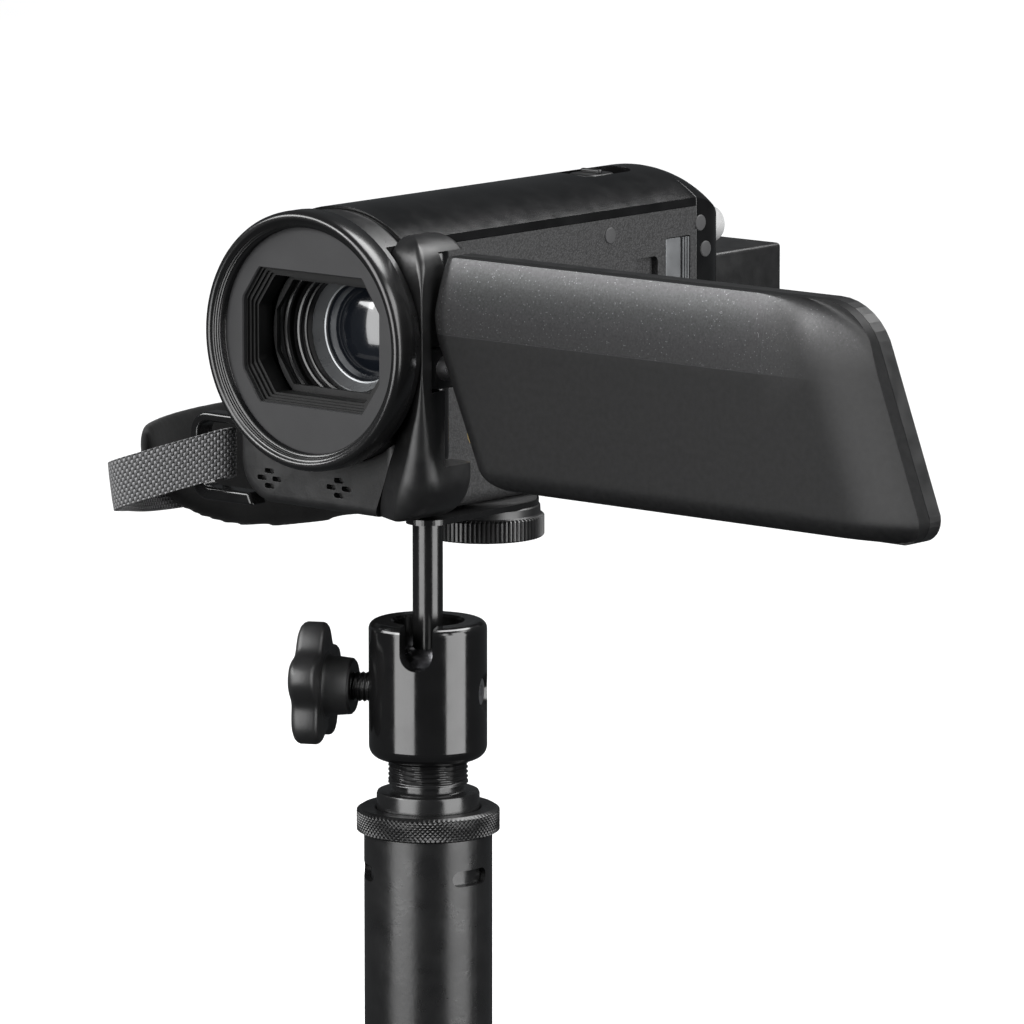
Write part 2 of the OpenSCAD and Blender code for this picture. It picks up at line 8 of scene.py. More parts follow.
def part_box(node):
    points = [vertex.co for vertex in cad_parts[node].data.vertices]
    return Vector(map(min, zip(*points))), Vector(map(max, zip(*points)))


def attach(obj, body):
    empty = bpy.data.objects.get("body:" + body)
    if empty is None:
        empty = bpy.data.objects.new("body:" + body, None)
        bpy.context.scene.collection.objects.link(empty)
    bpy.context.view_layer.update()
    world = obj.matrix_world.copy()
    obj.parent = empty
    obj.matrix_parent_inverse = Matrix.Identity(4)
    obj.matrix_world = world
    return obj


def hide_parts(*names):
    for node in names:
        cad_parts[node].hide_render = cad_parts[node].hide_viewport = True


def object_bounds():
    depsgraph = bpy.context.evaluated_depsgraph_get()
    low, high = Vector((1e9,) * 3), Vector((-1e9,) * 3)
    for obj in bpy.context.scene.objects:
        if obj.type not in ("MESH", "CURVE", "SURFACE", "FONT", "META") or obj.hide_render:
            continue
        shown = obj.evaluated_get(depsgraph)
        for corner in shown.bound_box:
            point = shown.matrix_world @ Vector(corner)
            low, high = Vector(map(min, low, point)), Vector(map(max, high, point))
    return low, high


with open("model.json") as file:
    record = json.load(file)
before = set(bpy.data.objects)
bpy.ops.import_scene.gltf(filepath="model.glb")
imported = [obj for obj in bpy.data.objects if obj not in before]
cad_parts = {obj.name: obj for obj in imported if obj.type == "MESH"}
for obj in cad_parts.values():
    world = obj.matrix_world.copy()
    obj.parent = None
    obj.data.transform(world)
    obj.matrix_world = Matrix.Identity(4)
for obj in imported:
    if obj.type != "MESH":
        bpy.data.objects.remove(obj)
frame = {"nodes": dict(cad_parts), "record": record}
cad_box = [list(v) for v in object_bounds()]
MM = 0.001

# ---- Where things are ----
# LENS is on the lens axis, just in front of the lens face plate.
# HEAD is on the column's axis, at the lock ring's top.
FACE_TO_BODY = 10 * MM
ring_lo, ring_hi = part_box("lens_ring")
lens_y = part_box("top_cover")[0].y - FACE_TO_BODY
LENS = Vector(((ring_lo.x + ring_hi.x) / 2, lens_y, (ring_lo.z + ring_hi.z) / 2))
tube_lo, tube_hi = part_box("column_tube")
HEAD = Vector(((tube_lo.x + tube_hi.x) / 2, (tube_lo.y + tube_hi.y) / 2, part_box("lock_ring")[1].z))
JOINT = {j["name"]: j for j in frame["record"]["behaviour"]["joints"]}


def cam(x, y, z):
    """A point given in mm from LENS."""
    return LENS + Vector((x, y, z)) * MM


def head(x, y, z):
    """A point given in mm from HEAD."""
    return HEAD + Vector((x, y, z)) * MM


# ---- Mesh helpers ----


def add_object(name, verts, faces, body, slot, material, replaces=(), smooth=30):
    """A dressed piece straight from its vertices and faces."""
    mesh = bpy.data.meshes.new(name)
    mesh.from_pydata([tuple(v) for v in verts], [], faces)
    obj = bpy.data.objects.new(name, mesh)
    bpy.context.scene.collection.objects.link(obj)
    return dress(obj, body, material, replaces, smooth)


def dress(obj, body, material, replaces=(), smooth=30):
    """Gives a piece its smoothing, material and body, and hides the nodes it stands for."""
    tidy(obj, smooth)
    obj.data.materials.clear()
    obj.data.materials.append(material)
    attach(obj, body)
    if replaces:
        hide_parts(*replaces)
    return obj


def tidy(obj, smooth):
    """Merges double points, turns the faces outwards and smooths up to an angle in degrees."""
    bm = bmesh.new()
    bm.from_mesh(obj.data)
    bmesh.ops.remove_doubles(bm, verts=bm.verts, dist=1e-6)
    bmesh.ops.recalc_face_normals(bm, faces=bm.faces)
    bm.to_mesh(obj.data)
    bm.free()
    for p in obj.data.polygons:
        p.use_smooth = True
    obj.data.set_sharp_from_angle(angle=math.radians(smooth))


def bevel(obj, width, segments=3, angle=35):
    """Rounds the edges sharper than angle, by a width in mm."""
    m = obj.modifiers.new("edges", "BEVEL")
    m.width = width * MM
    m.segments = segments
    m.limit_method = "ANGLE"
    m.angle_limit = math.radians(angle)
    m.harden_normals = True


def raw(name, verts, faces):
    """An undressed mesh, for a cutter or for a piece that is cut before it is dressed."""
    mesh = bpy.data.meshes.new(name)
    mesh.from_pydata([tuple(v) for v in verts], [], faces)
    obj = bpy.data.objects.new(name, mesh)
    bpy.context.scene.collection.objects.link(obj)
    bm = bmesh.new()
    bm.from_mesh(mesh)
    bmesh.ops.remove_doubles(bm, verts=bm.verts, dist=1e-7)
    bmesh.ops.recalc_face_normals(bm, faces=bm.faces)
    bm.to_mesh(mesh)
    bm.free()
    return obj


def carve(obj, cutters):
    """Cuts the cutters out of a piece and throws them away."""
    for c in cutters:
        m = obj.modifiers.new("cut", "BOOLEAN")
        m.operation = "DIFFERENCE"
        m.solver = "EXACT"
        m.object = c
        dg = bpy.context.evaluated_depsgraph_get()
        mesh = bpy.data.meshes.new_from_object(obj.evaluated_get(dg))
        obj.modifiers.clear()
        obj.data = mesh
        bpy.data.objects.remove(c)


def strips(rows, closed_u=True, cap0=False, cap1=False):
    """Vertices and quads of a grid of rows, with a face over its first and last row if asked."""
    n = len(rows[0])
    verts = [p for row in rows for p in row]
    faces = []
    for i in range(len(rows) - 1):
        for j in range(n if closed_u else n - 1):
            k = (j + 1) % n
            faces.append((i * n + j, i * n + k, (i + 1) * n + k, (i + 1) * n + j))
    if cap0:
        faces.append(tuple(range(n)))
    if cap1:
        faces.append(tuple(range((len(rows) - 1) * n, len(rows) * n)))
    return verts, faces


def turned(profile, place, seg=128, cap=True, wobble=None):
    """Turns a profile of (radius, height) mm about place's Z axis.

    wobble(angle, height, radius) gives the radius to use instead.
    """
    rows = []
    for r, h in profile:
        row = []
        for k in range(seg):
            a = 2 * math.pi * k / seg
            rr = wobble(a, h, r) if wobble else r
            row.append(place @ Vector((rr * MM * math.cos(a), rr * MM * math.sin(a), h * MM)))
        rows.append(row)
    return strips(rows, True, cap, cap)


def prism(outline, place, h0, h1):
    """A solid between two planes along place's Z axis, from an outline in mm."""
    rows = [[place @ Vector((x * MM, y * MM, h * MM)) for x, y in outline] for h in (h0, h1)]
    return strips(rows, True, True, True)


def merged(parts):
    """One mesh from several pairs of vertices and faces."""
    verts, faces = [], []
    for v, f in parts:
        faces += [tuple(i + len(verts) for i in face) for face in f]
        verts += v
    return verts, faces


def frame_at(origin, x, y, z):
    """A place with its own X, Y and Z directions."""
    m = Matrix((x, y, z)).transposed().to_4x4()
    m.translation = origin
    return m


X, Y, Z = Vector((1, 0, 0)), Vector((0, 1, 0)), Vector((0, 0, 1))
LENS_AXIS = frame_at(LENS, X, -Z, Y)
FRONT = frame_at(LENS, X, Z, -Y)
SIDE = frame_at(LENS, Y, Z, X)
TOP = frame_at(LENS, X, Y, Z)
COLUMN = frame_at(HEAD, X, Y, Z)


def block(lo, hi):
    """A box-shaped cutter between two corners in mm from LENS."""
    lo, hi = Vector(lo), Vector(hi)
    c = [Vector((x, y, z)) for z in (lo.z, hi.z) for y in (lo.y, hi.y) for x in (lo.x, hi.x)]
    faces = [(0, 1, 3, 2), (4, 6, 7, 5), (0, 4, 5, 1), (2, 3, 7, 6), (0, 2, 6, 4), (1, 5, 7, 3)]
    return raw("cutter", [LENS + v * MM for v in c], faces)


def drill(r, h0, h1, place, seg=128):
    """A round cutter along place's Z axis."""
    return raw("cutter", *turned([(r, h0), (r, h1)], place, seg))


def punch(outline, place, h0, h1):
    """A cutter with an outline in mm, along place's Z axis."""
    return raw("cutter", *prism(outline, place, h0, h1))


def arc(cx, cy, r, a0, a1, n=8):
    """Points on a circle from angle a0 to a1, in degrees."""
    angles = [math.radians(a0 + (a1 - a0) * i / n) for i in range(n + 1)]
    return [(cx + r * math.cos(a), cy + r * math.sin(a)) for a in angles]


def rounded(x0, y0, x1, y1, r, n=6):
    """A rectangle's outline with round corners."""
    return (
        arc(x0 + r, y0 + r, r, 180, 270, n)
        + arc(x1 - r, y0 + r, r, 270, 360, n)
        + arc(x1 - r, y1 - r, r, 0, 90, n)
        + arc(x0 + r, y1 - r, r, 90, 180, n)
    )


# ---- Materials ----


class Nodes:
    """A material's node tree, with a short call for each kind of node."""

    def __init__(self, name):
        self.mat = bpy.data.materials.new(name)
        self.mat.use_nodes = True
        self.tree = self.mat.node_tree
        self.bsdf = self.tree.nodes["Principled BSDF"]
        self.coord = self.tree.nodes.new("ShaderNodeTexCoord").outputs["Object"]

    def node(self, kind, inputs=(), **props):
        n = self.tree.nodes.new(kind)
        for k, v in props.items():
            setattr(n, k, v)
        for k, v in dict(inputs).items():
            if isinstance(v, bpy.types.NodeSocket):
                self.tree.links.new(v, n.inputs[k])
            else:
                n.inputs[k].default_value = v
        return n

    def noise(self, size_mm, detail=2.0, rough=0.5):
        return self.node(
            "ShaderNodeTexNoise",
            {"Vector": self.coord, "Scale": 1000.0 / size_mm, "Detail": detail, "Roughness": rough},
        ).outputs["Fac"]

    def math(self, op, a, b=0.0):
        return self.node("ShaderNodeMath", {0: a, 1: b}, operation=op).outputs[0]

    def mix(self, fac, a, b):
        n = self.node("ShaderNodeMix", data_type="RGBA")
        for key, v in (("Factor", fac), ("A", a), ("B", b)):
            kind = "VALUE" if key == "Factor" else "RGBA"
            sock = [s for s in n.inputs if s.name == key and s.type == kind][0]
            if isinstance(v, bpy.types.NodeSocket):
                self.tree.links.new(v, sock)
            else:
                sock.default_value = v
        return [s for s in n.outputs if s.type == "RGBA"][0]

    def spread(self, value, lo, hi, out_lo=0.0, out_hi=1.0):
        return self.node(
            "ShaderNodeMapRange",
            {"Value": value, "From Min": lo, "From Max": hi, "To Min": out_lo, "To Max": out_hi},
        ).outputs["Result"]

    def set(self, **kw):
        for k, v in kw.items():
            sock = self.bsdf.inputs[k.replace("_", " ")]
            if isinstance(v, bpy.types.NodeSocket):
                self.tree.links.new(v, sock)
            else:
                sock.default_value = v

    def bump(self, height, strength, distance_mm, normal=None):
        ins = {"Height": height, "Strength": strength, "Distance": distance_mm * MM}
        if normal is not None:
            ins["Normal"] = normal
        return self.node("ShaderNodeBump", ins).outputs["Normal"]


def grey(v, tint=1.03):
    """A neutral colour, slightly blue."""
    return (v, v, v * tint, 1.0)


def plain(
    name, color, rough, grain=0.3, bump=0.15, depth=0.02, patch=9.0, vary=0.15, rough_vary=0.06, **extra
):
    """A moulded or painted finish: fine grain in the bump, soft patches in the colour and the roughness.

    grain, depth and patch are sizes in mm; vary and rough_vary say how far the patches stray.
    """
    n = Nodes(name)
    base = color if isinstance(color, tuple) else grey(color)
    dark = tuple(c * (1 - vary) for c in base[:3]) + (1.0,)
    light = tuple(c * (1 + vary) for c in base[:3]) + (1.0,)
    soft = n.noise(patch, 3.0)
    n.set(Base_Color=n.mix(n.spread(soft, 0.35, 0.65), dark, light))
    wear = n.noise(patch * 0.4, 4.0)
    n.set(Roughness=n.spread(wear, 0.3, 0.7, max(rough - rough_vary, 0.02), rough + rough_vary))
    if bump:
        n.set(Normal=n.bump(n.noise(grain, 2.0, 0.6), bump, depth))
    n.set(**extra)
    return n.mat


M = {}
M["satin"] = plain("satin_plastic", 0.0065, 0.38, grain=0.45, bump=0.25, depth=0.03)
M["fascia"] = plain("grained_fascia", 0.007, 0.42, grain=0.55, bump=0.5, depth=0.05)
M["barrel"] = plain("barrel_plastic", 0.005, 0.32, grain=0.5, bump=0.12)
M["gloss"] = plain("gloss_black", 0.004, 0.17, grain=6.0, bump=0.03, depth=0.05, rough_vary=0.03, vary=0.3)
M["ring"] = plain("lens_ring_black", 0.005, 0.24, grain=0.6, bump=0.03, rough_vary=0.015, vary=0.08)
M["face"] = plain("lens_face_grey", 0.025, 0.6, grain=0.35, bump=0.25, vary=0.05, Specular_IOR_Level=0.2)
M["hood"] = plain("hood_matte", 0.003, 0.5, grain=0.3, bump=0.1, Specular_IOR_Level=0.3)
M["steel"] = plain("steel", (0.45, 0.45, 0.46, 1), 0.3, grain=1.2, bump=0.08, Metallic=1.0)
M["ball"] = plain("ball_steel", (0.2, 0.2, 0.21, 1), 0.22, grain=2.0, bump=0.04, Metallic=1.0)
M["brass"] = plain("jack_brass", (0.6, 0.45, 0.2, 1), 0.3, grain=1.0, bump=0.05, Metallic=1.0)
M["housing"] = plain("black_anodised", 0.004, 0.14, grain=3.0, bump=0.02, depth=0.03, rough_vary=0.03)
M["stem"] = plain("black_rod", 0.004, 0.2, grain=2.0, bump=0.03, rough_vary=0.03)
M["thread"] = plain("black_thread", 0.006, 0.22, grain=0.8, bump=0.05)
M["knob"] = plain("knob_plastic", 0.008, 0.45, grain=0.5, bump=0.4, depth=0.04)
M["wheel"] = plain("wheel_plastic", 0.007, 0.36, grain=0.5, bump=0.15)
M["tube"] = plain("powder_coat", 0.0055, 0.3, grain=0.9, bump=0.35, depth=0.05, patch=14.0)
M["lock"] = plain("knurled_ring", 0.007, 0.3, grain=0.5, bump=0.1, Metallic=0.3)
M["rubber"] = plain("foot_rubber", 0.012, 0.7, grain=0.7, bump=0.4, depth=0.05)
M["nylon"] = plain("nylon", (0.7, 0.68, 0.6, 1), 0.45, grain=0.8, bump=0.05)
M["board"] = plain("board_green", (0.02, 0.1, 0.04, 1), 0.35, grain=1.5, bump=0.1)
M["silver"] = plain("silver_plastic", (0.5, 0.5, 0.5, 1), 0.28, grain=0.4, bump=0.05, Metallic=0.4)
M["plate"] = plain("silver_grey_plate", (0.16, 0.165, 0.17, 1), 0.4, grain=0.4, bump=0.1, Metallic=0.5)
M["battery"] = plain("battery_black", 0.007, 0.36, grain=0.5, bump=0.15)
M["dot"] = plain("bumper_rubber", 0.035, 0.65, grain=0.3, bump=0.1)
M["bezel"] = plain("grey_bezel", (0.16, 0.165, 0.17, 1), 0.3, grain=0.6, bump=0.04, Metallic=0.6)
# Front lens: opaque and near black, painted shade for the dark lens interior seen through the glass; its coat
# is real.
M["lens"] = plain(
    "coated_lens_painted_shade", (0.004, 0.005, 0.007, 1), 0.13, grain=8.0, bump=0.0, rough_vary=0.02, Coat_Weight=0.6
)
M["screen"] = plain("screen_glass", 0.002, 0.06, grain=8.0, bump=0.0, rough_vary=0.02)


def wall_material():
    """Coarse leather-like grain on the body's sides."""
    n = Nodes("grained_wall")
    v = n.node("ShaderNodeTexVoronoi", {"Vector": n.coord, "Scale": 1000 / 0.42}).outputs["Distance"]
    fine = n.noise(0.3, 2.0, 0.6)
    n.set(Base_Color=n.mix(n.spread(v, 0.1, 0.7), grey(0.03), grey(0.009)))
    n.set(Roughness=n.spread(fine, 0.3, 0.7, 0.5, 0.68))
    n.set(Normal=n.bump(fine, 0.3, 0.03, n.bump(v, 0.8, 0.06)))
    return n.mat


def panel_material():
    """Charcoal metallic paint above a line and round the free end's top corner, matte black elsewhere. The
    paint stops short of the top face, whose matte black is painted shade.
    """
    line_up, edge_below, edge_above = 29.5, 0.05, 0.1
    fade_from, fade_to, fade_drop, fade_depth = 36, 22, 14, 12
    paint_near, paint_far = 2.7, 3.4
    n = Nodes("panel_paint")
    sep = n.node("ShaderNodeSeparateXYZ", {0: n.coord})
    x, y, z = sep.outputs["X"], sep.outputs["Y"], sep.outputs["Z"]
    lo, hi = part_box("screen_cover")
    line = lo.z + line_up * MM
    upper = n.spread(z, line - edge_below * MM, line + edge_above * MM)
    past = n.spread(x, hi.x - fade_from * MM, hi.x - fade_to * MM)
    sunk = n.math("SUBTRACT", z, n.math("MULTIPLY", past, fade_drop * MM))
    low = n.spread(sunk, line - fade_depth * MM, line)
    band = n.math("MULTIPLY", upper, n.math("SUBTRACT", 1.0, past))
    field = n.math("MAXIMUM", band, n.math("MULTIPLY", low, past))
    # Paint only near the front face; the top face behind it stays matte black as painted shade for its dark
    # look.
    field = n.math("MULTIPLY", field, n.spread(y, lo.y + paint_far * MM, lo.y + paint_near * MM))
    flake = n.node("ShaderNodeTexVoronoi", {"Vector": n.coord, "Scale": 1000 / 0.3})
    rand = n.node("ShaderNodeSeparateColor", {0: flake.outputs["Color"]}).outputs[0]
    spark = n.math("MULTIPLY", n.spread(rand, 0.9, 0.97), n.spread(flake.outputs["Distance"], 0.42, 0.25))
    spark = n.math("MULTIPLY", spark, field)
    cloud = n.noise(0.5, 3.0, 0.7)
    paint = n.mix(n.spread(cloud, 0.3, 0.7), grey(0.028, 1.02), grey(0.045, 1.02))
    paint = n.mix(n.math("MULTIPLY", spark, 0.35), paint, grey(0.3))
    matte = n.mix(n.spread(n.noise(1.2, 3.0), 0.3, 0.7), grey(0.0055), grey(0.0085))
    n.set(Base_Color=n.mix(field, matte, paint))
    n.set(Metallic=n.math("MULTIPLY", field, 0.6))
    n.set(Roughness=n.spread(field, 0.0, 1.0, 0.4, 0.27), Specular_IOR_Level=0.17)
    n.set(Normal=n.bump(n.noise(0.4, 2.0, 0.6), 0.12, 0.02))
    return n.mat


def glass_material():
    """Clear coated glass, a little uneven in its tint."""
    n = Nodes("coated_glass")
    soft = n.noise(20.0, 2.0)
    n.set(Base_Color=n.mix(n.spread(soft, 0.3, 0.7), (0.9, 0.93, 0.96, 1.0), (0.828, 0.8556, 0.8832, 1.0)))
    n.set(Roughness=0.02, Transmission_Weight=1.0, IOR=1.5, Coat_Weight=0.5, Coat_Roughness=0.02)
    return n.mat


def suede_material():
    """Black suede with a soft nap."""
    n = Nodes("black_suede")
    fibre = n.noise(0.35, 5.0, 0.75)
    nap = n.noise(7.0, 3.0, 0.6)
    n.set(Base_Color=n.mix(n.spread(nap, 0.3, 0.7), grey(0.003), grey(0.007)))
    n.set(Roughness=n.spread(fibre, 0.3, 0.7, 0.85, 1.0), Sheen_Weight=0.06, Sheen_Roughness=0.55)
    n.set(Specular_IOR_Level=0.15)
    n.set(Normal=n.bump(fibre, 0.6, 0.08))
    return n.mat


def webbing_material():
    """Basket weave from the strap's own length and width, kept in its UV map in mm, with painted shade in the
    dips between the yarns.
    """
    n = Nodes("woven_webbing")
    uv = n.node("ShaderNodeUVMap", uv_map="weave").outputs["UV"]
    sep = n.node("ShaderNodeSeparateXYZ", {0: uv})
    along, across = math.pi / 0.6, math.pi / 0.75
    a = n.math("SINE", n.math("MULTIPLY", sep.outputs["X"], along))
    b = n.math("SINE", n.math("MULTIPLY", sep.outputs["Y"], across))
    over = n.math("GREATER_THAN", n.math("MULTIPLY", a, b), 0.0)
    hump = n.math("POWER", n.math("ABSOLUTE", n.math("MULTIPLY", a, b)), 0.5)
    fibre = n.noise(0.12, 3.0, 0.7)
    warp = n.mix(n.spread(fibre, 0.3, 0.7), grey(0.1), grey(0.2))
    weft = n.mix(n.spread(fibre, 0.3, 0.7), grey(0.012), grey(0.03))
    yarn = n.mix(over, weft, warp)
    # Near black where the weave dips between the yarns: painted shade in the dips.
    n.set(Base_Color=n.mix(n.spread(hump, 0.0, 0.45), grey(0.004), yarn))
    n.set(Roughness=n.spread(fibre, 0.3, 0.7, 0.55, 0.75), Sheen_Weight=0.1)
    n.set(Normal=n.bump(fibre, 0.3, 0.03, n.bump(hump, 1.0, 0.3)))
    return n.mat


M["wall"] = wall_material()
M["panel"] = panel_material()
M["glass"] = glass_material()
M["suede"] = suede_material()
M["webbing"] = webbing_material()

# ---- Camcorder body ----
# Radius of the round side, underside (z) and flat side (x)
R, FLOOR, WALL = 25.6, -35.0, 16.0
# Seam behind the barrel, front of the rear cover and back end (y), and the top cover's seam (z)
SEAM, REAR, END, PART = 10.0, 100.0, 113.0, 18.2
# Radii that round the back end on the flat side, the round side, the top and the underside
END_WALL, END_ROUND, END_TOP, END_FLOOR = 10, 14, 15, 8
FLOOR_ROUND_R, FLOOR_WALL_R = 8, 3
# Gap between pieces that meet
JOIN = 0.05


def body_rim():
    """The body's outline seen from the front, anticlockwise from the top of the flat side."""
    a0 = math.degrees(math.acos(WALL / R))
    left = arc(FLOOR_ROUND_R - R, FLOOR + FLOOR_ROUND_R, FLOOR_ROUND_R, 180, 270, 14)
    right = arc(WALL - FLOOR_WALL_R, FLOOR + FLOOR_WALL_R, FLOOR_WALL_R, 270, 360, 8)
    return arc(0, 0, R, a0, 180, 56) + left + right


def body_row(y, inset=0.0):
    """The outline at a distance y behind the lens, drawn in where the back end is rounded."""

    def ease(radius):
        d = y - (END - radius)
        return radius - math.sqrt(max(radius * radius - d * d, 0)) if d > 0 else 0.0

    right = WALL - inset - ease(END_WALL)
    left = -R + inset + ease(END_ROUND)
    top = R - inset - ease(END_TOP)
    low = FLOOR + inset + ease(END_FLOOR)
    row = []
    for x, z in body_rim():
        u, v = (x + R) / (WALL + R), (z - FLOOR) / (R - FLOOR)
        row.append(cam(left + u * (right - left), y, low + v * (top - low)))
    return row


def body_part(name, y0, y1, keep, front_r=0):
    """The body between y0 and y1, less what lies on the outer side of each (point, normal) plane in keep."""
    bend = END - END_TOP
    ys = [y0] + [y for y in range(int(y0) + 1, int(y1) + 1, 3) if y0 < y < y1 and y < bend]
    bent = [bend + END_TOP * math.sin(math.radians(a)) for a in range(0, 90, 5)]
    ys = sorted(set(ys + [y for y in bent if y0 < y < y1])) + [y1]
    rows = [body_row(y) for y in ys]
    if front_r:
        nose = []
        for a in (0, 20, 40, 60, 75):
            back, inset = front_r * math.cos(math.radians(a)), front_r * math.sin(math.radians(a))
            nose.append(body_row(y0 + front_r - back, front_r - inset))
        rows = nose + [r for r, y in zip(rows, ys) if y > y0 + front_r]
    obj = raw(name, *strips(rows, True, True, True))
    bm = bmesh.new()
    bm.from_mesh(obj.data)
    for point, normal in keep:
        geom = bm.verts[:] + bm.edges[:] + bm.faces[:]
        res = bmesh.ops.bisect_plane(
            bm, geom=geom, dist=1e-7, plane_co=point, plane_no=normal, clear_outer=True
        )
        edges = [e for e in res["geom_cut"] if isinstance(e, bmesh.types.BMEdge)]
        bmesh.ops.edgeloop_fill(bm, edges=edges)
    bmesh.ops.recalc_face_normals(bm, faces=bm.faces)
    bm.to_mesh(obj.data)
    bm.free()
    return obj


# Places that more than one piece refers to
LENS_BORE = (13.95, SEAM - 3, 72.2, LENS_AXIS)
JACK_AT, POWER_AT = cam(WALL, 32, -20), cam(WALL, 60, 0)
WHEEL_X, WHEEL_Y, WHEEL_TOP = -7.5, 25.6, 56.65
HINGE_LOW, HINGE_HIGH = -23.8, 18.3

top = body_part("top_cover_shell", SEAM, REAR - JOIN, [(cam(0, 0, PART + JOIN), -Z)])
carve(top, [punch(rounded(-5, 78, 5, 94, 2.5), TOP, 22.8, 40), drill(*LENS_BORE)])
bevel(dress(top, "camcorder", M["gloss"], ["top_cover"]), 0.28)

main = body_part("main_body_shell", SEAM, REAR - JOIN, [(cam(0, 0, PART - 0.03), Z)])
carve(
    main,
    [
        drill(3.05, -4, 4, frame_at(JACK_AT, Y, Z, X), 32),
        drill(2.6, -4, 4, frame_at(POWER_AT, Y, Z, X), 32),
        punch(rounded(90.3, 2.2, 98.2, 12.5, 0.6), SIDE, WALL - 0.9, WALL + 2),
        punch(rounded(80.9, 3.2, 87.9, 9.2, 1.2), SIDE, WALL - 1.6, WALL + 2),
        drill(4.5, -1, 6, frame_at(head(WHEEL_X, WHEEL_Y, 58.2), X, Y, Z), 40),
        block((WALL - 1.9, 12, HINGE_LOW), (WALL + 3, 20, 15)),
        drill(*LENS_BORE),
    ],
)
bevel(dress(main, "camcorder", M["wall"], ["main_shell"]), 0.22)

rear = body_part("rear_body_cover", REAR, END - 0.02, [])
bevel(dress(rear, "camcorder", M["gloss"], ["rear_cover"]), 0.22)

slant_cut = (cam(12.8, 0, -28.4), Vector((0.936, 0, -0.352)))
fascia_planes = [(cam(0, 0, -7.9), Z), (cam(WALL - 0.05, 0, 0), X), slant_cut]
fascia = body_part("front_body_fascia", 7.6, SEAM - 0.1, fascia_planes, 2)
cutters = [drill(R - 0.5, -5, 20, LENS_AXIS, 160)]
MIC_Z, SLOT_W, SLOT_H = -30, 1.25, 0.5
for mic_x in (-17.3, 1.1):
    for dx, dz in ((-2, 0), (2, 0), (0, 1.5), (0, -1.5)):
        x, z = mic_x + dx, MIC_Z + dz
        slot = rounded(x - SLOT_W, z - SLOT_H, x + SLOT_W, z + SLOT_H, 0.48, 4)
        cutters.append(punch(slot, FRONT, -9.2, -3))
carve(fascia, cutters)
bevel(dress(fascia, "camcorder", M["fascia"], ["front_fascia"]), 0.12, 2, 50)

# ---- Lens end ----
BARREL = [(23.2, 3.05), (24.6, 3.05), (24.95, 3.4), (25.0, 6.6), (25.0, 9.0), (24.75, 9.25), (24.75, 9.9)]
BARREL += [(23.2, 9.9), (23.2, 3.05)]
barrel = raw("lens_barrel_shell", *turned(BARREL, LENS_AXIS, 192, cap=False))
carve(barrel, [block((WALL - 0.1, 4.95, -40), (60, 40, 40))])
dress(barrel, "camcorder", M["barrel"], ["lens_barrel"])


def hoop(name, profile, slot, material, replaces=(), seg=128, smooth=30):
    """A ring about the lens axis, from a closed profile of (radius, distance back) mm."""
    verts, faces = turned(profile, LENS_AXIS, seg, cap=False)
    add_object(name, verts, faces, "camcorder", slot, material, replaces, smooth)


# Seat, filter thread, stepped inner lip, front edge, outside
THREAD_R, THREAD_BACK, THREAD_STEP, THREAD_DEPTH = 22.3, 0.6, 0.14, 0.1
RING = [(23.15, 3.0), (23.15, 0.64), (THREAD_R, 0.64)]
RING += [(THREAD_R + THREAD_DEPTH * (k % 2), THREAD_BACK - THREAD_STEP * k) for k in range(9)]
RING += [(22.45, -0.7), (22.75, -0.85), (22.8, -1.15), (23.05, -1.2), (23.1, -1.5), (23.35, -1.55)]
RING += [(23.4, -1.85), (23.65, -1.95), (23.85, -2.2), (24.1, -2.36), (24.5, -2.4), (24.85, -2.32)]
RING += [(25.15, -2.1), (25.4, -1.75), (25.58, -1.3), (25.66, -0.8), (25.7, -0.2), (25.7, 2.7), (25.55, 3.0)]
hoop("lens_ring_trim", RING, "lens_ring_plastic", M["ring"], ["lens_ring"], 256, 40)


def octagon(grow):
    """The lens window's outline, grown or shrunk by a number of mm."""
    half_w, half_h, corner_w, corner_h = 17.8, 13.3, 4.4, 6.3
    w, h = half_w + grow, half_h + grow
    s, t = h - corner_h, w - corner_w
    return [(w, s), (t, h), (-t, h), (-w, s), (-w, -s), (-t, -h), (t, -h), (w, -s)]


def resample(outline, count=160):
    """Points around an outline at even angles from its centre."""
    pts = []
    for k in range(count):
        a = 2 * math.pi * k / count
        d = Vector((math.cos(a), math.sin(a)))
        best = None
        for p, q in zip(outline, outline[1:] + outline[:1]):
            e = Vector(q) - Vector(p)
            den = d.x * e.y - d.y * e.x
            if abs(den) < 1e-9:
                continue
            t = (p[0] * e.y - p[1] * e.x) / den
            s = (p[0] * d.y - p[1] * d.x) / den
            if t > 0 and -1e-6 <= s <= 1 + 1e-6 and (best is None or t < best):
                best = t
        pts.append((d.x * best, d.y * best))
    return pts


def face_disc(outer_r, y0, y1):
    """The lens face plate: a disc from y0 back to y1, with a window whose front edge is eased."""
    ease, ease_depth = 1.012, 0.25
    win = resample(octagon(0))
    ang = [math.atan2(p[1], p[0]) for p in win]
    circ = [(outer_r * math.cos(a), outer_r * math.sin(a)) for a in ang]
    edge = [(p[0] * ease, p[1] * ease) for p in win]
    rows = []
    for pts, y in ((circ, y1), (circ, y0), (edge, y0), (win, y0 + ease_depth), (win, y1)):
        rows.append([cam(x, y, z) for x, z in pts])
    verts, faces = strips(rows + [rows[0]])
    add_object("lens_face_disc", verts, faces, "camcorder", "lens_face", M["face"], ["lens_face_plate"])


face_disc(23.1, 0.68, 1.65)

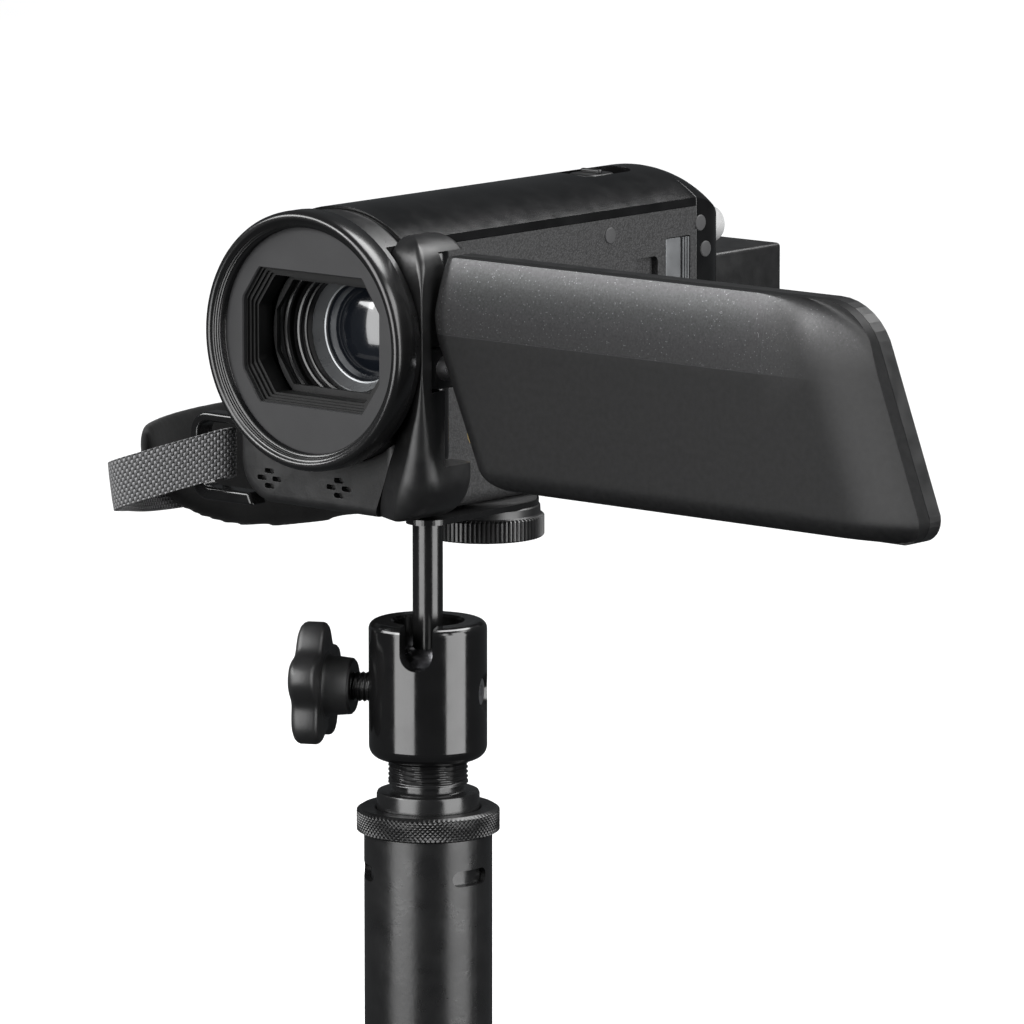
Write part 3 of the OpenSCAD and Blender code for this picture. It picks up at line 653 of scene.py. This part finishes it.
# Window steps behind the face plate: front, back, how far the window grows, outer radius
HOOD = ((1.7, 2.3, -0.3, 21.4), (2.3, 2.9, -0.75, 21.4), (2.9, 3.5, -1.2, 21.4), (3.5, 7.4, -1.65, 21.4))
HOOD += ((7.4, 8.25, -2.9, 15.75),)
steps = []
for y0, y1, grow, outer_r in HOOD:
    win = resample(octagon(grow))
    circ = [Vector(p).normalized() * outer_r for p in win]
    rows = [[cam(p[0], y, p[1]) for p in pts] for pts, y in ((circ, y1), (circ, y0), (win, y0), (win, y1))]
    steps.append(strips(rows + [rows[0]]))
add_object("lens_hood_steps", *merged(steps), "camcorder", "hood_black", M["hood"], ["lens_hood"])


def lens_blade(name, r, y, bulge, back, node, material):
    """One lens: a domed front at y and a flat back."""
    front = [(r * i / 14, y - bulge * (1 - (i / 14) ** 2)) for i in range(1, 15)]
    rear_side = [(r * i / 14, y + back) for i in range(14, 0, -1)]
    verts, faces = turned(front + rear_side, LENS_AXIS, 96)
    add_object(name, verts, faces, "camcorder", "lens_glass", material, [node])


BORE = [(13.9, 10.6), (13.9, 72), (12.0, 72), (12.0, 50), (12.9, 50)]
BORE += [(12.95 - 0.1 * (k % 2), 46 - 2.1 * k) for k in range(16)]
BORE += [(13.0, 11.2), (13.3, 10.6)]
hoop("lens_tube_bore", BORE, "hood_black", M["hood"], ["lens_tube"])
OUTER = [(15.6, 8.4), (15.0, 8.45), (14.75, 8.8), (14.75, 9.5), (14.2, 9.6), (13.95, 9.9), (13.9, 10.55)]
OUTER += [(15.6, 10.55), (15.6, 8.4)]
INNER = [(12.9, 11.2), (12.5, 11.3), (12.3, 11.7), (12.3, 12.6), (11.9, 12.7), (11.7, 13.0), (11.7, 14.2)]
INNER += [(12.9, 14.2), (12.9, 11.2)]
BRIGHT = [(12.8, 14.25), (11.6, 14.3), (11.3, 14.7), (10.2, 16.2), (9.9, 16.3), (9.9, 17.0), (12.8, 17.0)]
BRIGHT += [(12.8, 14.25)]
DEEP = [(12.9, 20.0), (8.6, 20.0), (8.3, 20.3), (7.9, 22.0), (7.0, 22.2), (6.8, 23.8), (12.9, 23.8)]
DEEP += [(12.9, 20.0)]
hoop("lens_bezel_outer", OUTER, "lens_ring_plastic", M["ring"])
hoop("lens_bezel_inner", INNER, "lens_ring_plastic", M["ring"])
hoop("lens_bezel_bright", BRIGHT, "silver_plastic", M["bezel"])
hoop("lens_bezel_deep", DEEP, "lens_ring_plastic", M["ring"])
# The front lens is opaque: its near-black finish is painted shade for the lens interior.
lens_blade("front_lens_glass", 10.0, 16.9, 2.6, 0.9, "front_lens", M["lens"])
lens_blade("zoom_lens_glass", 8.5, 26.6, 2.4, 1.0, "zoom_lens", M["glass"])
lens_blade("rear_lens_glass", 11.9, 58.0, 1.2, 1.5, "rear_lens", M["glass"])

# ---- Screen hinge ----
# Hinge pin's axis; the cover's side face (x), front and back (y); heights where its rounded ends begin
HX, HY = 17.8, 16.0
CX, CY0, CY1 = 25.2, 5.0, 20.4
UNDER_R, FRONT_R, CROWN_Z, CROWN_R = 9, 2.5, 13.5, 7.5
CROWN_LEAN, BACK_LEAN = 0.85, 0.35
# x by height of the cover's front edge, and of the line where it meets the front fascia
CREASE = [(-35, 16.4), (-27, 19.5), (-22, 21.2), (-17, 22.5), (-13.5, 23.5), (-10, 24.2), (-6, 24.85)]
CREASE += [(-2, 25.1), (8, 25.1), (11, 24.9), (14, 24.3), (17.5, 22.9), (21, 20.6)]
FLANK = [(-35, 10.6), (-28.4, 12.9), (-22.6, 14.9), (-18.5, 16.6), (-14, 18.4), (-10, 17.5), (-6, 16.1)]
FLANK += [(21, 16.1)]
SEAM_Y = 9.85


def between(table, z):
    """Reads a table of (height, x) pairs at any height."""
    for (z0, x0), (z1, x1) in zip(table, table[1:]):
        if z <= z1:
            return x0 + (x1 - x0) * max(z - z0, 0) / (z1 - z0)
    return table[-1][1]


def sag(radius, d):
    """How far a circle falls away at a distance d from its top."""
    return radius - math.sqrt(max(radius * radius - d * d, 0))


def hinge_rows():
    """The cover's plan outline at each height: bevelled at the fascia, domed on top, rounded underneath."""
    zs = [FLOOR + UNDER_R - UNDER_R * math.sin(math.radians(a)) for a in range(90, -1, -6)]
    zs += [-24.8 + 1.5 * k for k in range(26)]
    zs += [CROWN_Z + CROWN_R * math.sin(math.radians(a)) for a in range(0, 91, 6)]
    rows = []
    for z in sorted(zs):
        lo = max(FLOOR + UNDER_R - z, 0)
        crown = sag(CROWN_R, max(z - CROWN_Z, 0))
        dx = sag(UNDER_R, lo) + crown
        dy = sag(FRONT_R, lo * FRONT_R / UNDER_R) + CROWN_LEAN * crown
        x1 = max(CX - dx, WALL + 0.5)
        y0, y1 = CY0 + dy, CY1 - dy * BACK_LEAN
        left = min(between(FLANK, z), x1 - 0.4)
        edge = min(between(CREASE, z), x1 - 0.25)
        deep = y0 + (2.5 if z < -14 else max(0.3, 2.5 - (z + 14) * 0.5))
        rf = max(min(x1 - edge, 6.0), 0.25)
        rb = min(1.6, (x1 - left) * 0.3)
        mid = left + 0.62 * (edge - left)
        seam = max(deep, SEAM_Y)
        pts = [(left, seam + 0.02), (left, deep), (mid, y0 + 0.35 * (deep - y0)), (edge - 0.15, y0 + 0.02)]
        pts += arc(x1 - rf, y0 + rf, rf, 270, 360, 10) + arc(x1 - rb, y1 - rb, rb, 0, 90, 5)
        pts += [(WALL + JOIN, y1), (WALL + JOIN, seam + 0.12)]
        rows.append([cam(x, y, z) for x, y in pts])
    return rows


cover = raw("hinge_cover_shell", *strips(hinge_rows(), True, True, True))
carve(
    cover,
    [
        drill(21.7, -5, 11.6, LENS_AXIS, 160),
        punch(rounded(WALL - 3, 11.8, 40, 30, 0.8), TOP, HINGE_LOW, HINGE_HIGH),
        block((WALL - 3, 7.9, -8.7), (40, 30, 0.3)),
    ],
)
bevel(dress(cover, "camcorder", M["satin"], ["hinge_cover"]), 0.35, 3, 40)
KNUCKLE = [(3.0, -23.4), (3.5, -23.2), (3.6, -22.6), (3.6, 17.3), (3.4, 17.8), (2.9, 18.0)]
knuckle = raw("hinge_knuckle", *turned(KNUCKLE, frame_at(cam(HX, HY, 0), X, Y, Z), 48))
dress(knuckle, "screen_arm", M["stem"])
arm = raw("hinge_arm", *prism(rounded(HX + 1, 8.35, CX, HY + 1.2, 1.6), TOP, -8.4, 0.0))
bevel(dress(arm, "screen_arm", M["satin"]), 0.5)
ROD = [(2.1, 24.6), (2.4, 24.9), (2.4, 38.0)]
rod = raw("hinge_tilt_rod", *turned(ROD, frame_at(cam(0, 11.75, -4.2), Y, Z, X), 40))
dress(rod, "screen_arm", M["steel"], ["hinge_block"])

# ---- Screen panel ----
# The panel's left end (x), lower and upper edge (z), front face and depth (y)
PX0, PZ0, PZ1, PY, P_DEPTH = 25.85, -26.4, 18.0, 7.0, 5.95
LOWER_R, TIP_R, TOP_R = 7, 4.4, 13
OUTLINE = (
    arc(PX0 + 14, PZ1 - 11, 14, 180, 205, 8)
    + arc(43.5, PZ0 + LOWER_R, LOWER_R, 205, 270, 14)
    + arc(139, PZ0 + TIP_R, TIP_R, 270, 372, 16)
    + arc(119.5, PZ1 - TOP_R, TOP_R, 17, 90, 18)
    + arc(PX0 + 2, PZ1 - 0.6, 0.6, 90, 170, 3)
)


def crossings(z):
    """The panel's left and right end at a height."""
    xs = []
    for (ax, az), (bx, bz) in zip(OUTLINE, OUTLINE[1:] + OUTLINE[:1]):
        if (az - z) * (bz - z) < 0:
            xs.append(ax + (bx - ax) * (z - az) / (bz - az))
    return min(xs), max(xs)


def dome(x, z, xl, xr):
    """How far the front face falls back: bulged along the top, the free end and the lower edge."""

    def soft(d, reach):
        t = max(0.0, 1 - d / reach)
        return t * t

    t = max(0.0, 1 - (z - PZ0) / 4.2)
    top, tip = 2.5 * soft(PZ1 - z, 15), 2.8 * soft((xr - x) * 0.93, 14)
    low, hinge_end = 3.0 * (1 - math.sqrt(1 - t * t)), 0.9 * soft(x - xl, 2.5)
    return min(top + tip + low + hinge_end, 3.6)


def panel_cover():
    """The panel's outer cover: a domed grid closed by a flat back."""
    zs = [PZ0 + 0.02 + 4.4 * (1 - math.cos(math.radians(a))) for a in range(0, 91, 9)]
    zs += [PZ0 + 5 + 1.6 * k for k in range(16)]
    zs += [PZ1 - 0.02 - 12.6 * (1 - math.sin(math.radians(a))) ** 1.3 for a in range(4, 91, 6)]
    zs = sorted(set(zs))
    us = [0.5 - 0.5 * math.cos(math.pi * k / 72) for k in range(73)]
    rows = []
    for z in zs:
        xl, xr = crossings(z)
        rows.append([(xl + u * (xr - xl), z) for u in us])
    grid = [[cam(x, PY + dome(x, z, row[0][0], row[-1][0]), z) for x, z in row] for row in rows]
    verts, faces = strips(grid, False)
    n, m = len(us), len(rows)
    edge = list(range(n)) + [i * n + n - 1 for i in range(1, m)]
    edge += [(m - 1) * n + j for j in range(n - 2, -1, -1)] + [i * n for i in range(m - 2, 0, -1)]
    back = len(verts)
    verts += [Vector((verts[i].x, LENS.y + (PY + P_DEPTH) * MM, verts[i].z)) for i in edge]
    for i in range(len(edge)):
        k = (i + 1) % len(edge)
        faces.append((edge[i], edge[k], back + k, back + i))
    faces.append(tuple(range(back, back + len(edge))))
    return raw("screen_cover_shell", verts, faces)


panel = panel_cover()
# Finger notch in the free end, along its slant
slant, across = Vector((-0.292, 0, 0.956)), Vector((0.956, 0, 0.292))
notch_at = frame_at(cam(141.6, PY + 5.2, -9.5), slant, Y, across)
NOTCH = [(-12.5, -0.3), (-11, -1.3), (0, -1.9), (9, -1.7), (13, -0.4), (13.4, 0.4), (12.8, 0.8), (-12.3, 0.8)]
carve(panel, [punch(NOTCH, notch_at, -1.5, 6)])
bevel(dress(panel, "screen", M["panel"], ["screen_cover"]), 0.3, 3, 32)

# ---- Controls ----
lever = raw("zoom_rocker", *prism(rounded(-3.6, 82, 3.6, 90, 2), TOP, 21, 25.0))
bevel(dress(lever, "zoom", M["satin"], ["zoom_lever"]), 0.5)
ridge = raw("zoom_rocker_rib", *prism(rounded(-2.6, 85.4, 2.6, 86.6, 0.5), TOP, 24.9, 25.8))
bevel(dress(ridge, "zoom", M["satin"]), 0.3)
RECORD = [(3.6, 109), (3.9, 109.5), (3.9, 114.0), (3.6, 114.7), (2.9, 115.1), (1.2, 115.2)]
press = raw("record_push", *turned(RECORD, frame_at(cam(8, 0, 12.5), X, -Z, Y), 48))
dress(press, "record", M["silver"], ["record_button"])
POWER = [(2.3, -2.2), (2.4, -2.0), (2.4, 0.1), (2.2, 0.3), (1.0, 0.35)]
power = raw("power_push", *turned(POWER, frame_at(POWER_AT, Y, Z, X), 32))
dress(power, "power", M["satin"], ["power_button"])
LATCH = [(2.3, 110), (2.4, 113.6), (2.1, 114.1), (1.0, 114.2)]
latch = raw("latch_push", *turned(LATCH, frame_at(cam(-9, 0, 12.5), X, -Z, Y), 32))
dress(latch, "latch", M["satin"], ["battery_latch"])
DOT = [(1.65, -0.3), (1.65, 0.12), (1.5, 0.28), (0.6, 0.34)]
DOTS_AT = ((72.8, 14.8), (101.3, 14.6), (103, 9.1))
dots = merged([turned(DOT, frame_at(cam(WALL, y, z), Y, Z, X), 32) for y, z in DOTS_AT])
add_object("wall_bumper_dots", *dots, "camcorder", "foot_rubber", M["dot"], ["wall_bumpers"])
plate = raw("side_ribbed_plate", *prism(rounded(90.6, 2.5, 95.3, 12.3, 0.4), SIDE, WALL - 0.8, WALL - 0.1))
bevel(dress(plate, "camcorder", M["plate"], ["side_plate"]), 0.12)
for k in range(3):
    rib_outline = rounded(95.7 + 0.8 * k, 2.6, 96.2 + 0.8 * k, 12.2, 0.2)
    rib = raw("side_plate_rib_%d" % k, *prism(rib_outline, SIDE, WALL - 0.9, WALL + JOIN))
    dress(rib, "camcorder", M["plate"])
pack = raw("battery_case", *prism(rounded(-22, 113.3, 8, 138.4, 1.6), TOP, -22, 6.1))
bevel(dress(pack, "battery", M["battery"], ["battery_pack"]), 0.8, 4)

# ---- Hand strap ----
# The strap runs round an ellipse seen from above: its centre, and its half widths in x and y
STRAP_C, STRAP_A, STRAP_B = (-27.0, 46.0), 38.0, 48.0
# The pad's ends (y), top (z), the centre (y, z) and radius of its lower edge, and the radii of its corners
PAD_Y, PAD_TOP, BELLY, BELLY_R, PAD_END, PAD_NOSE = (9.5, 86.0), -22.5, (66.0, 27.0), 80.0, 10.0, 4


def strap_xy(t, grow=0.0):
    """A point on the strap's ellipse at an angle in degrees from its front."""
    t = math.radians(t)
    return (STRAP_C[0] - (STRAP_A + grow) * math.sin(t), STRAP_C[1] - (STRAP_B + grow) * math.cos(t))


def pad_span(y):
    """The pad's lowest and highest point at a distance y behind the lens ring."""
    top, rear = PAD_TOP, PAD_Y[1] - PAD_END
    if y < PAD_Y[0] + PAD_NOSE:
        top -= sag(PAD_NOSE, PAD_Y[0] + PAD_NOSE - y)
    if y > rear:
        top -= sag(PAD_END, y - rear)
    low = BELLY[1] - math.sqrt(BELLY_R**2 - (y - BELLY[0]) ** 2)
    if y > rear + 1.4:
        corner = BELLY[1] - math.sqrt((BELLY_R - PAD_END) ** 2 - (rear - BELLY[0]) ** 2)
        low = corner - math.sqrt(max(PAD_END**2 - (y - rear) ** 2, 0))
    return low, top


def pad_mesh(shrink):
    """A flat curved blade with thin edges, ready to be blown up."""
    half_thick, thin_edge, edge_reach, columns, around = 1.9, 0.15, 6.0, 48, 32
    t0 = math.degrees(math.acos((STRAP_C[1] - PAD_Y[0] - shrink) / STRAP_B))
    t1 = math.degrees(math.acos((STRAP_C[1] - PAD_Y[1] + shrink) / STRAP_B))
    rows = []
    for i in range(columns + 1):
        t = t0 + (t1 - t0) * (0.5 - 0.5 * math.cos(math.pi * i / columns))
        x, y = strap_xy(t)
        low, top = pad_span(y)
        mid, half = (low + top) / 2, max((top - low) / 2 - 0.6 * shrink, 0.8)
        from_end = min(y - PAD_Y[0], PAD_Y[1] - y)
        thick = half_thick * min(1.0, (thin_edge + from_end / edge_reach)) ** 0.5
        turn = math.radians(t)
        n = Vector((math.sin(turn) * STRAP_B, math.cos(turn) * STRAP_A)).normalized() * -1
        row = []
        for k in range(around):
            a = 2 * math.pi * k / around
            c, sn = math.cos(a), math.sin(a)
            z = math.copysign(abs(sn) ** 0.55, sn) * half
            w = math.copysign(abs(c) ** 0.8, c) * thick
            row.append(cam(x + n.x * w, y + n.y * w, mid + z))
        rows.append(row)
    return strips(rows, True, True, True)


def blow_up(obj, voxel, cap, pressure=4.0, frames=20):
    """Remeshes a shape, swells it as cloth, and limits how far each point may move (sizes in mm)."""
    m = obj.modifiers.new("remesh", "REMESH")
    m.mode = "VOXEL"
    m.voxel_size = voxel * MM
    dg = bpy.context.evaluated_depsgraph_get()
    obj.data = bpy.data.meshes.new_from_object(obj.evaluated_get(dg))
    obj.modifiers.clear()
    start = [v.co.copy() for v in obj.data.vertices]
    cloth = obj.modifiers.new("cloth", "CLOTH")
    cloth.settings.use_pressure = True
    cloth.settings.uniform_pressure_force = pressure
    cloth.settings.tension_stiffness = 12
    cloth.settings.bending_stiffness = 0.8
    cloth.settings.mass = 0.2
    cloth.settings.effector_weights.gravity = 0
    scene = bpy.context.scene
    for f in range(1, frames + 1):
        scene.frame_set(f)
    dg = bpy.context.evaluated_depsgraph_get()
    swollen = bpy.data.meshes.new_from_object(obj.evaluated_get(dg))
    obj.modifiers.clear()
    for v, a, b in zip(obj.data.vertices, start, swollen.vertices):
        move = b.co - a
        if move.length > cap * MM:
            move *= cap * MM / move.length
        v.co = a + move
    scene.frame_set(1)


pad = raw("hand_strap_pad", *pad_mesh(0.9))
blow_up(pad, 1.2, 0.6)
soft = pad.modifiers.new("soft", "SMOOTH")
soft.iterations = 24
sub = pad.modifiers.new("sub", "SUBSURF")
sub.levels = sub.render_levels = 1
dress(pad, "camcorder", M["suede"], ["strap_pad"], 180)

# The webbing's path seen from above: out of the front loop, round the hand, through the rear loop and back
STRAP_PATH = [(-34.5, 13.2), (-31, 12.2), (-28.8, 10), (-28.6, 7.2), (-30.5, 5), (-34, 3), (-38, 0.8)]
STRAP_PATH += [(-42, -1.2), (-46, -2.4), (-50, -2), (-53.4, 0.4), (-56, 4), (-57.6, 8)]
STRAP_PATH += [strap_xy(t, 5) for t in range(50, 147, 8)]
STRAP_PATH += [(-47, 93.3), (-42.5, 96), (-38, 97.9), (-33.5, 98.6), (-30.3, 97.4), (-28.7, 94.8)]
STRAP_PATH += [(-29, 91.8), (-31, 89.8), (-34.5, 88.9)]
# Half the band's width, its mid height where x is STRAP_X, its fall per mm outwards and its lean
STRAP_HALF, STRAP_Z, STRAP_X, STRAP_SLOPE, STRAP_LEAN = 4.85, -25.7, -28, 0.352, 0.12
# Half its thickness at its edges and between them, and the places across it
EDGE_THICK, MID_THICK = 0.5, 0.6
ACROSS = (-1, -0.5, 0, 0.5, 1)


def webbing_mesh():
    """The strap's band, with each row's distance along it."""
    pts = [Vector((x, y, 0)) for x, y in STRAP_PATH]
    fine = []
    for a, b in zip(pts, pts[1:]):
        fine += [a.lerp(b, k / 6) for k in range(6)]
    fine.append(pts[-1])
    for _ in range(14):
        inner = [(fine[i - 1] + fine[i] * 2 + fine[i + 1]) / 4 for i in range(1, len(fine) - 1)]
        fine = [fine[0]] + inner + [fine[-1]]
    rows, marks, dist = [], [], 0.0
    for i, p in enumerate(fine):
        n = (fine[min(i + 1, len(fine) - 1)] - fine[max(i - 1, 0)]).normalized().cross(Z)
        if i:
            dist += (p - fine[i - 1]).length
        marks.append(dist)
        lean = STRAP_LEAN * min(1.0, max(0.0, (-30 - p.x) / 20))
        outward = Vector((p.x - STRAP_C[0], p.y - STRAP_C[1], 0)).normalized()
        row = []
        for w, side in [(w, 1) for w in ACROSS] + [(w, -1) for w in ACROSS[::-1]]:
            h = w * STRAP_HALF
            q = p + n * side * (EDGE_THICK if abs(w) == 1 else MID_THICK) + outward * h * lean
            row.append(cam(q.x, q.y, STRAP_Z + STRAP_SLOPE * (p.x - STRAP_X) + h))
        rows.append(row)
    verts, faces = strips(rows, True, True, True)
    return verts, faces, marks


verts, faces, marks = webbing_mesh()
web = raw("hand_strap_webbing", verts, faces)
dress(web, "camcorder", M["webbing"], ["strap_webbing"], 50)
layer = web.data.uv_layers.new(name="weave")
ROUND_BAND = ACROSS + ACROSS[::-1]
for loop in web.data.loops:
    row, place = divmod(loop.vertex_index, len(ROUND_BAND))
    layer.data[loop.index].uv = (marks[row], ROUND_BAND[place] * STRAP_HALF)

# A strap loop's outline seen from the front: outer side downwards to the right, then the opening
LUG = [(-21.3, -36)] + arc(-33.8, -31.5, 4.5, 270, 180, 8) + arc(-33.8, -22.8, 4.5, 180, 90, 8)
LUG += [(-25.65, -18.3), (-25.65, -20.2)] + arc(-33.5, -22.6, 2.4, 90, 180, 6)
LUG += arc(-33.5, -31, 2.4, 180, 270, 6) + [(-22.5, -33.4)]
HALF_LUG = 2.25
for name, node, y in (("strap_loop_front", "front_lug", 9.3), ("strap_loop_rear", "rear_lug", 93.3)):
    loop_piece = raw(name, *prism(LUG, FRONT, -y - HALF_LUG, -y + HALF_LUG))
    bevel(dress(loop_piece, "camcorder", M["gloss"], [node]), 0.7, 4)

# ---- Ball head and column ----


def thread(name, r, depth, pitch, h0, h1, place, core, seg, body, replaces=()):
    """A grid whose radius rises and falls along a helix, closed to a core radius at both ends."""
    count = int((h1 - h0) / pitch * 10)
    profile = [(r, h0 + (h1 - h0) * k / count) for k in range(count + 1)]

    def wave(a, h, rr):
        t = (h / pitch + a / (2 * math.pi)) % 1.0
        fade = min(1.0, (h - h0) / pitch, (h1 - h) / pitch)
        return rr - depth * abs(2 * t - 1) * max(fade, 0.0)

    verts, faces = turned(profile, place, seg, False, wave)
    low, high, top = len(verts), len(verts) + seg, count * seg
    verts += turned([(core, h0), (core, h1)], place, seg, False)[0]
    for k in range(seg):
        j = (k + 1) % seg
        faces.append((k, j, low + j, low + k))
    for k in range(seg):
        j = (k + 1) % seg
        faces.append((top + j, top + k, high + k, high + j))
    add_object(name, verts, faces, body, "thread_black", M["thread"], replaces, 60)


COLLAR = [(11.4, -22), (11.4, -1.15), (10.1, -1.15), (10.2, -1.0), (10.2, 2.6), (10.0, 3.1), (9.5, 3.3)]
COLLAR += [(7.4, 3.3), (7.1, 3.6), (7.1, 4.9)]
neck = turned(COLLAR, COLUMN, 128)
add_object("neck_collar", *neck, "stand", "thread_black", M["thread"], ["neck_fitting"])
thread("neck_thread", 7.94, 0.5, 0.94, 4.9, 15.2, COLUMN, 3.0, 96, "stand")
KNURLS, KNURL_PITCH, KNURL_DEPTH, LOCK_R, LOCK_FROM = 88, 1.0, 0.34, 14.2, 13.9


def knurl(a, h, r):
    """Crossed grooves on the lock ring's rim."""
    if r < LOCK_FROM:
        return r
    u, v = a * KNURLS / (2 * math.pi), h / KNURL_PITCH
    p = abs(((u + v) % 1.0) * 2 - 1)
    q = abs(((u - v) % 1.0) * 2 - 1)
    return r - KNURL_DEPTH * max(p, q) ** 1.3


LOCK = [(12.8, -4.95), (13.3, -4.95), (13.75, -4.7)] + [(LOCK_R, -4.55 + 0.16 * k) for k in range(26)]
LOCK += [(13.75, -0.3), (13.3, -0.02), (10.9, 0.0), (10.6, -0.12), (10.35, -0.4), (10.3, -0.95)]
LOCK += [(12.8, -0.95), (12.8, -4.95)]
lock = turned(LOCK, COLUMN, KNURLS * 6, False, knurl)
add_object("lock_ring_knurled", *lock, "lock_ring_body", "ring_black", M["lock"], ["lock_ring"], 25)

clamp_axis = JOINT["clamp_turn"]["axis"]
turn = math.atan2(clamp_axis[1], clamp_axis[0])
out = Vector((math.cos(turn), math.sin(turn), 0))
CLAMP = frame_at(head(0, 0, 23.4), out.cross(Z).normalized() * -1, Z, out)
thread("clamp_thread", 3.0, 0.38, 1.0, 8.7, 19.0, CLAMP, 0.6, 64, "clamp", ["clamp_screw"])
LOBES, LOBE_R, WAIST_DEPTH, LOBE_POINTS = 5, 12.6, 3.2, 200


def knob_row(h, k):
    """One level of the lobed clamp knob, its size scaled by k."""
    row = []
    for i in range(LOBE_POINTS):
        a = 2 * math.pi * i / LOBE_POINTS
        r = (LOBE_R - WAIST_DEPTH * abs(math.sin(LOBES / 2 * (a - math.pi / 2))) ** 2.4) * k
        row.append(CLAMP @ Vector((r * MM * math.cos(a), r * MM * math.sin(a), h * MM)))
    return row


LEVELS = ((20.32, 0.5), (20.32, 0.9), (20.45, 0.95), (20.8, 0.985), (21.3, 1.0), (24.4, 1.0), (25.0, 0.98))
LEVELS += ((25.5, 0.94), (25.85, 0.87), (26.0, 0.7), (26.05, 0.4))
knob = strips([knob_row(h, k) for h, k in LEVELS], True, True, True)
add_object("clamp_wing", *knob, "clamp", "knob_plastic", M["knob"], ["clamp_knob"], 50)
HUB = [(3.05, 15.2), (5.2, 15.0), (5.6, 15.4), (6.0, 19.4), (6.4, 20.1), (7.0, 20.4), (2.0, 20.6)]
add_object("clamp_hub", *turned(HUB, CLAMP, 64), "clamp", "knob_plastic", M["knob"])
RIBS, RIB_DEPTH, RIB_FROM = 80, 0.42, 11.75


def ribs(a, h, r):
    """Upright grooves on the thumb wheel's rim."""
    if r < RIB_FROM:
        return r
    t = abs(((a * RIBS / (2 * math.pi)) % 1.0) * 2 - 1)
    return r - RIB_DEPTH * max(0.0, 1 - t * 1.7) ** 0.6


WHEEL = [(3.25, -6.5), (11.2, -6.5), (11.8, -6.4), (12.1, -6.1), (12.1, -2.35), (11.8, -2.05)]
WHEEL += [(11.55, -1.95), (11.35, -1.7), (11.25, -0.25), (11.0, 0), (3.25, 0), (3.25, -6.5)]
wheel_at = frame_at(head(WHEEL_X, WHEEL_Y, WHEEL_TOP), X, Y, Z)
wheel = turned(WHEEL, wheel_at, RIBS * 8, False, ribs)
add_object("thumb_wheel_ribbed", *wheel, "thumb_screw", "knob_plastic", M["wheel"], ["thumb_wheel"], 25)

# ---- Finishes of the CAD nodes that stay as they are ----
KEPT = {
    "tripod_hub": "knob", "leg_1": "tube", "leg_2": "tube", "leg_3": "tube",
    "foot_1": "rubber", "foot_2": "rubber", "foot_3": "rubber", "leg_pins": "steel", "column_tube": "tube",
    "ball_housing": "housing", "ball_seat": "nylon", "set_screw": "steel", "ball": "ball", "stem": "stem",
    "camera_plate": "stem", "plate_pad": "rubber", "camera_screw": "steel", "tripod_socket": "steel",
    "image_sensor": "board", "main_board": "board", "hinge_pin": "steel",
    "screen_bezel": "satin", "screen_module": "battery", "screen_glass": "screen", "mic_jack": "brass",
}
for node, key in KEPT.items():
    obj = frame["nodes"][node]
    for s in obj.material_slots:
        s.material = M[key]

# ---- Studio ----
floor_mat = plain("studio_floor", (0.9, 0.9, 0.9, 1), 0.7, grain=40.0, bump=0.0, vary=0.01, patch=400.0)
FLOOR_HALF, UNDER_FEET = 60, 0.0005
floor_z = cad_box[0][2] - UNDER_FEET
corners = [Vector((x * FLOOR_HALF, y * FLOOR_HALF, floor_z)) for x, y in ((-1, -1), (1, -1), (1, 1), (-1, 1))]
floor = raw("studio_ground", corners, [(0, 1, 2, 3)])
floor.data.materials.append(floor_mat)
floor.visible_diffuse = False
floor.visible_glossy = False

world = bpy.data.worlds.new("studio")
bpy.context.scene.world = world
world.use_nodes = True
background = world.node_tree.nodes["Background"]
background.inputs["Color"].default_value = (0.9, 0.95, 1.0, 1)
background.inputs["Strength"].default_value = 0.07
bpy.context.scene.view_settings.view_transform = "Standard"

AIM = head(0, 0, 90)


def softbox(name, azimuth, elevation, distance, width, height, power):
    """A rectangular lamp aimed at AIM; azimuth is counted from the lens's side towards the screen's."""
    data = bpy.data.lights.new(name, "AREA")
    data.shape = "RECTANGLE"
    data.size, data.size_y = width, height
    data.energy = power
    obj = bpy.data.objects.new(name, data)
    bpy.context.scene.collection.objects.link(obj)
    a, e = math.radians(azimuth), math.radians(elevation)
    away = Vector((math.sin(a) * math.cos(e), -math.cos(a) * math.cos(e), math.sin(e)))
    obj.location = AIM + away * distance
    obj.rotation_euler = away.to_track_quat("Z", "Y").to_euler()


softbox("softbox_left", -6, 12, 1.1, 0.9, 1.3, 25)
softbox("softbox_top", -44, 27, 1.2, 0.9, 0.42, 14)
softbox("softbox_right", 98, 12, 1.1, 0.9, 1.3, 25)
sun = bpy.data.lights.new("sky_light", "SUN")
sun.energy = 4.0
sun.angle = math.radians(40)
sun_obj = bpy.data.objects.new("sky_light", sun)
bpy.context.scene.collection.objects.link(sun_obj)
sun_obj.rotation_euler = (math.radians(-28), math.radians(12), 0)

# ---- Camera ----
# Looking 9.5 degrees down, from 40.6 degrees round towards the screen's side
camera = bpy.data.cameras.new("camera")
camera.sensor_width = 36
camera.lens = 281.25
camera.clip_start, camera.clip_end = 0.1, 300
cam_obj = bpy.data.objects.new("camera", camera)
bpy.context.scene.collection.objects.link(cam_obj)
cam_obj.location = head(1021.32, -1166.14, 318.21)
cam_obj.rotation_euler = (math.radians(80.5), 0, math.radians(40.6))
bpy.context.scene.camera = cam_obj
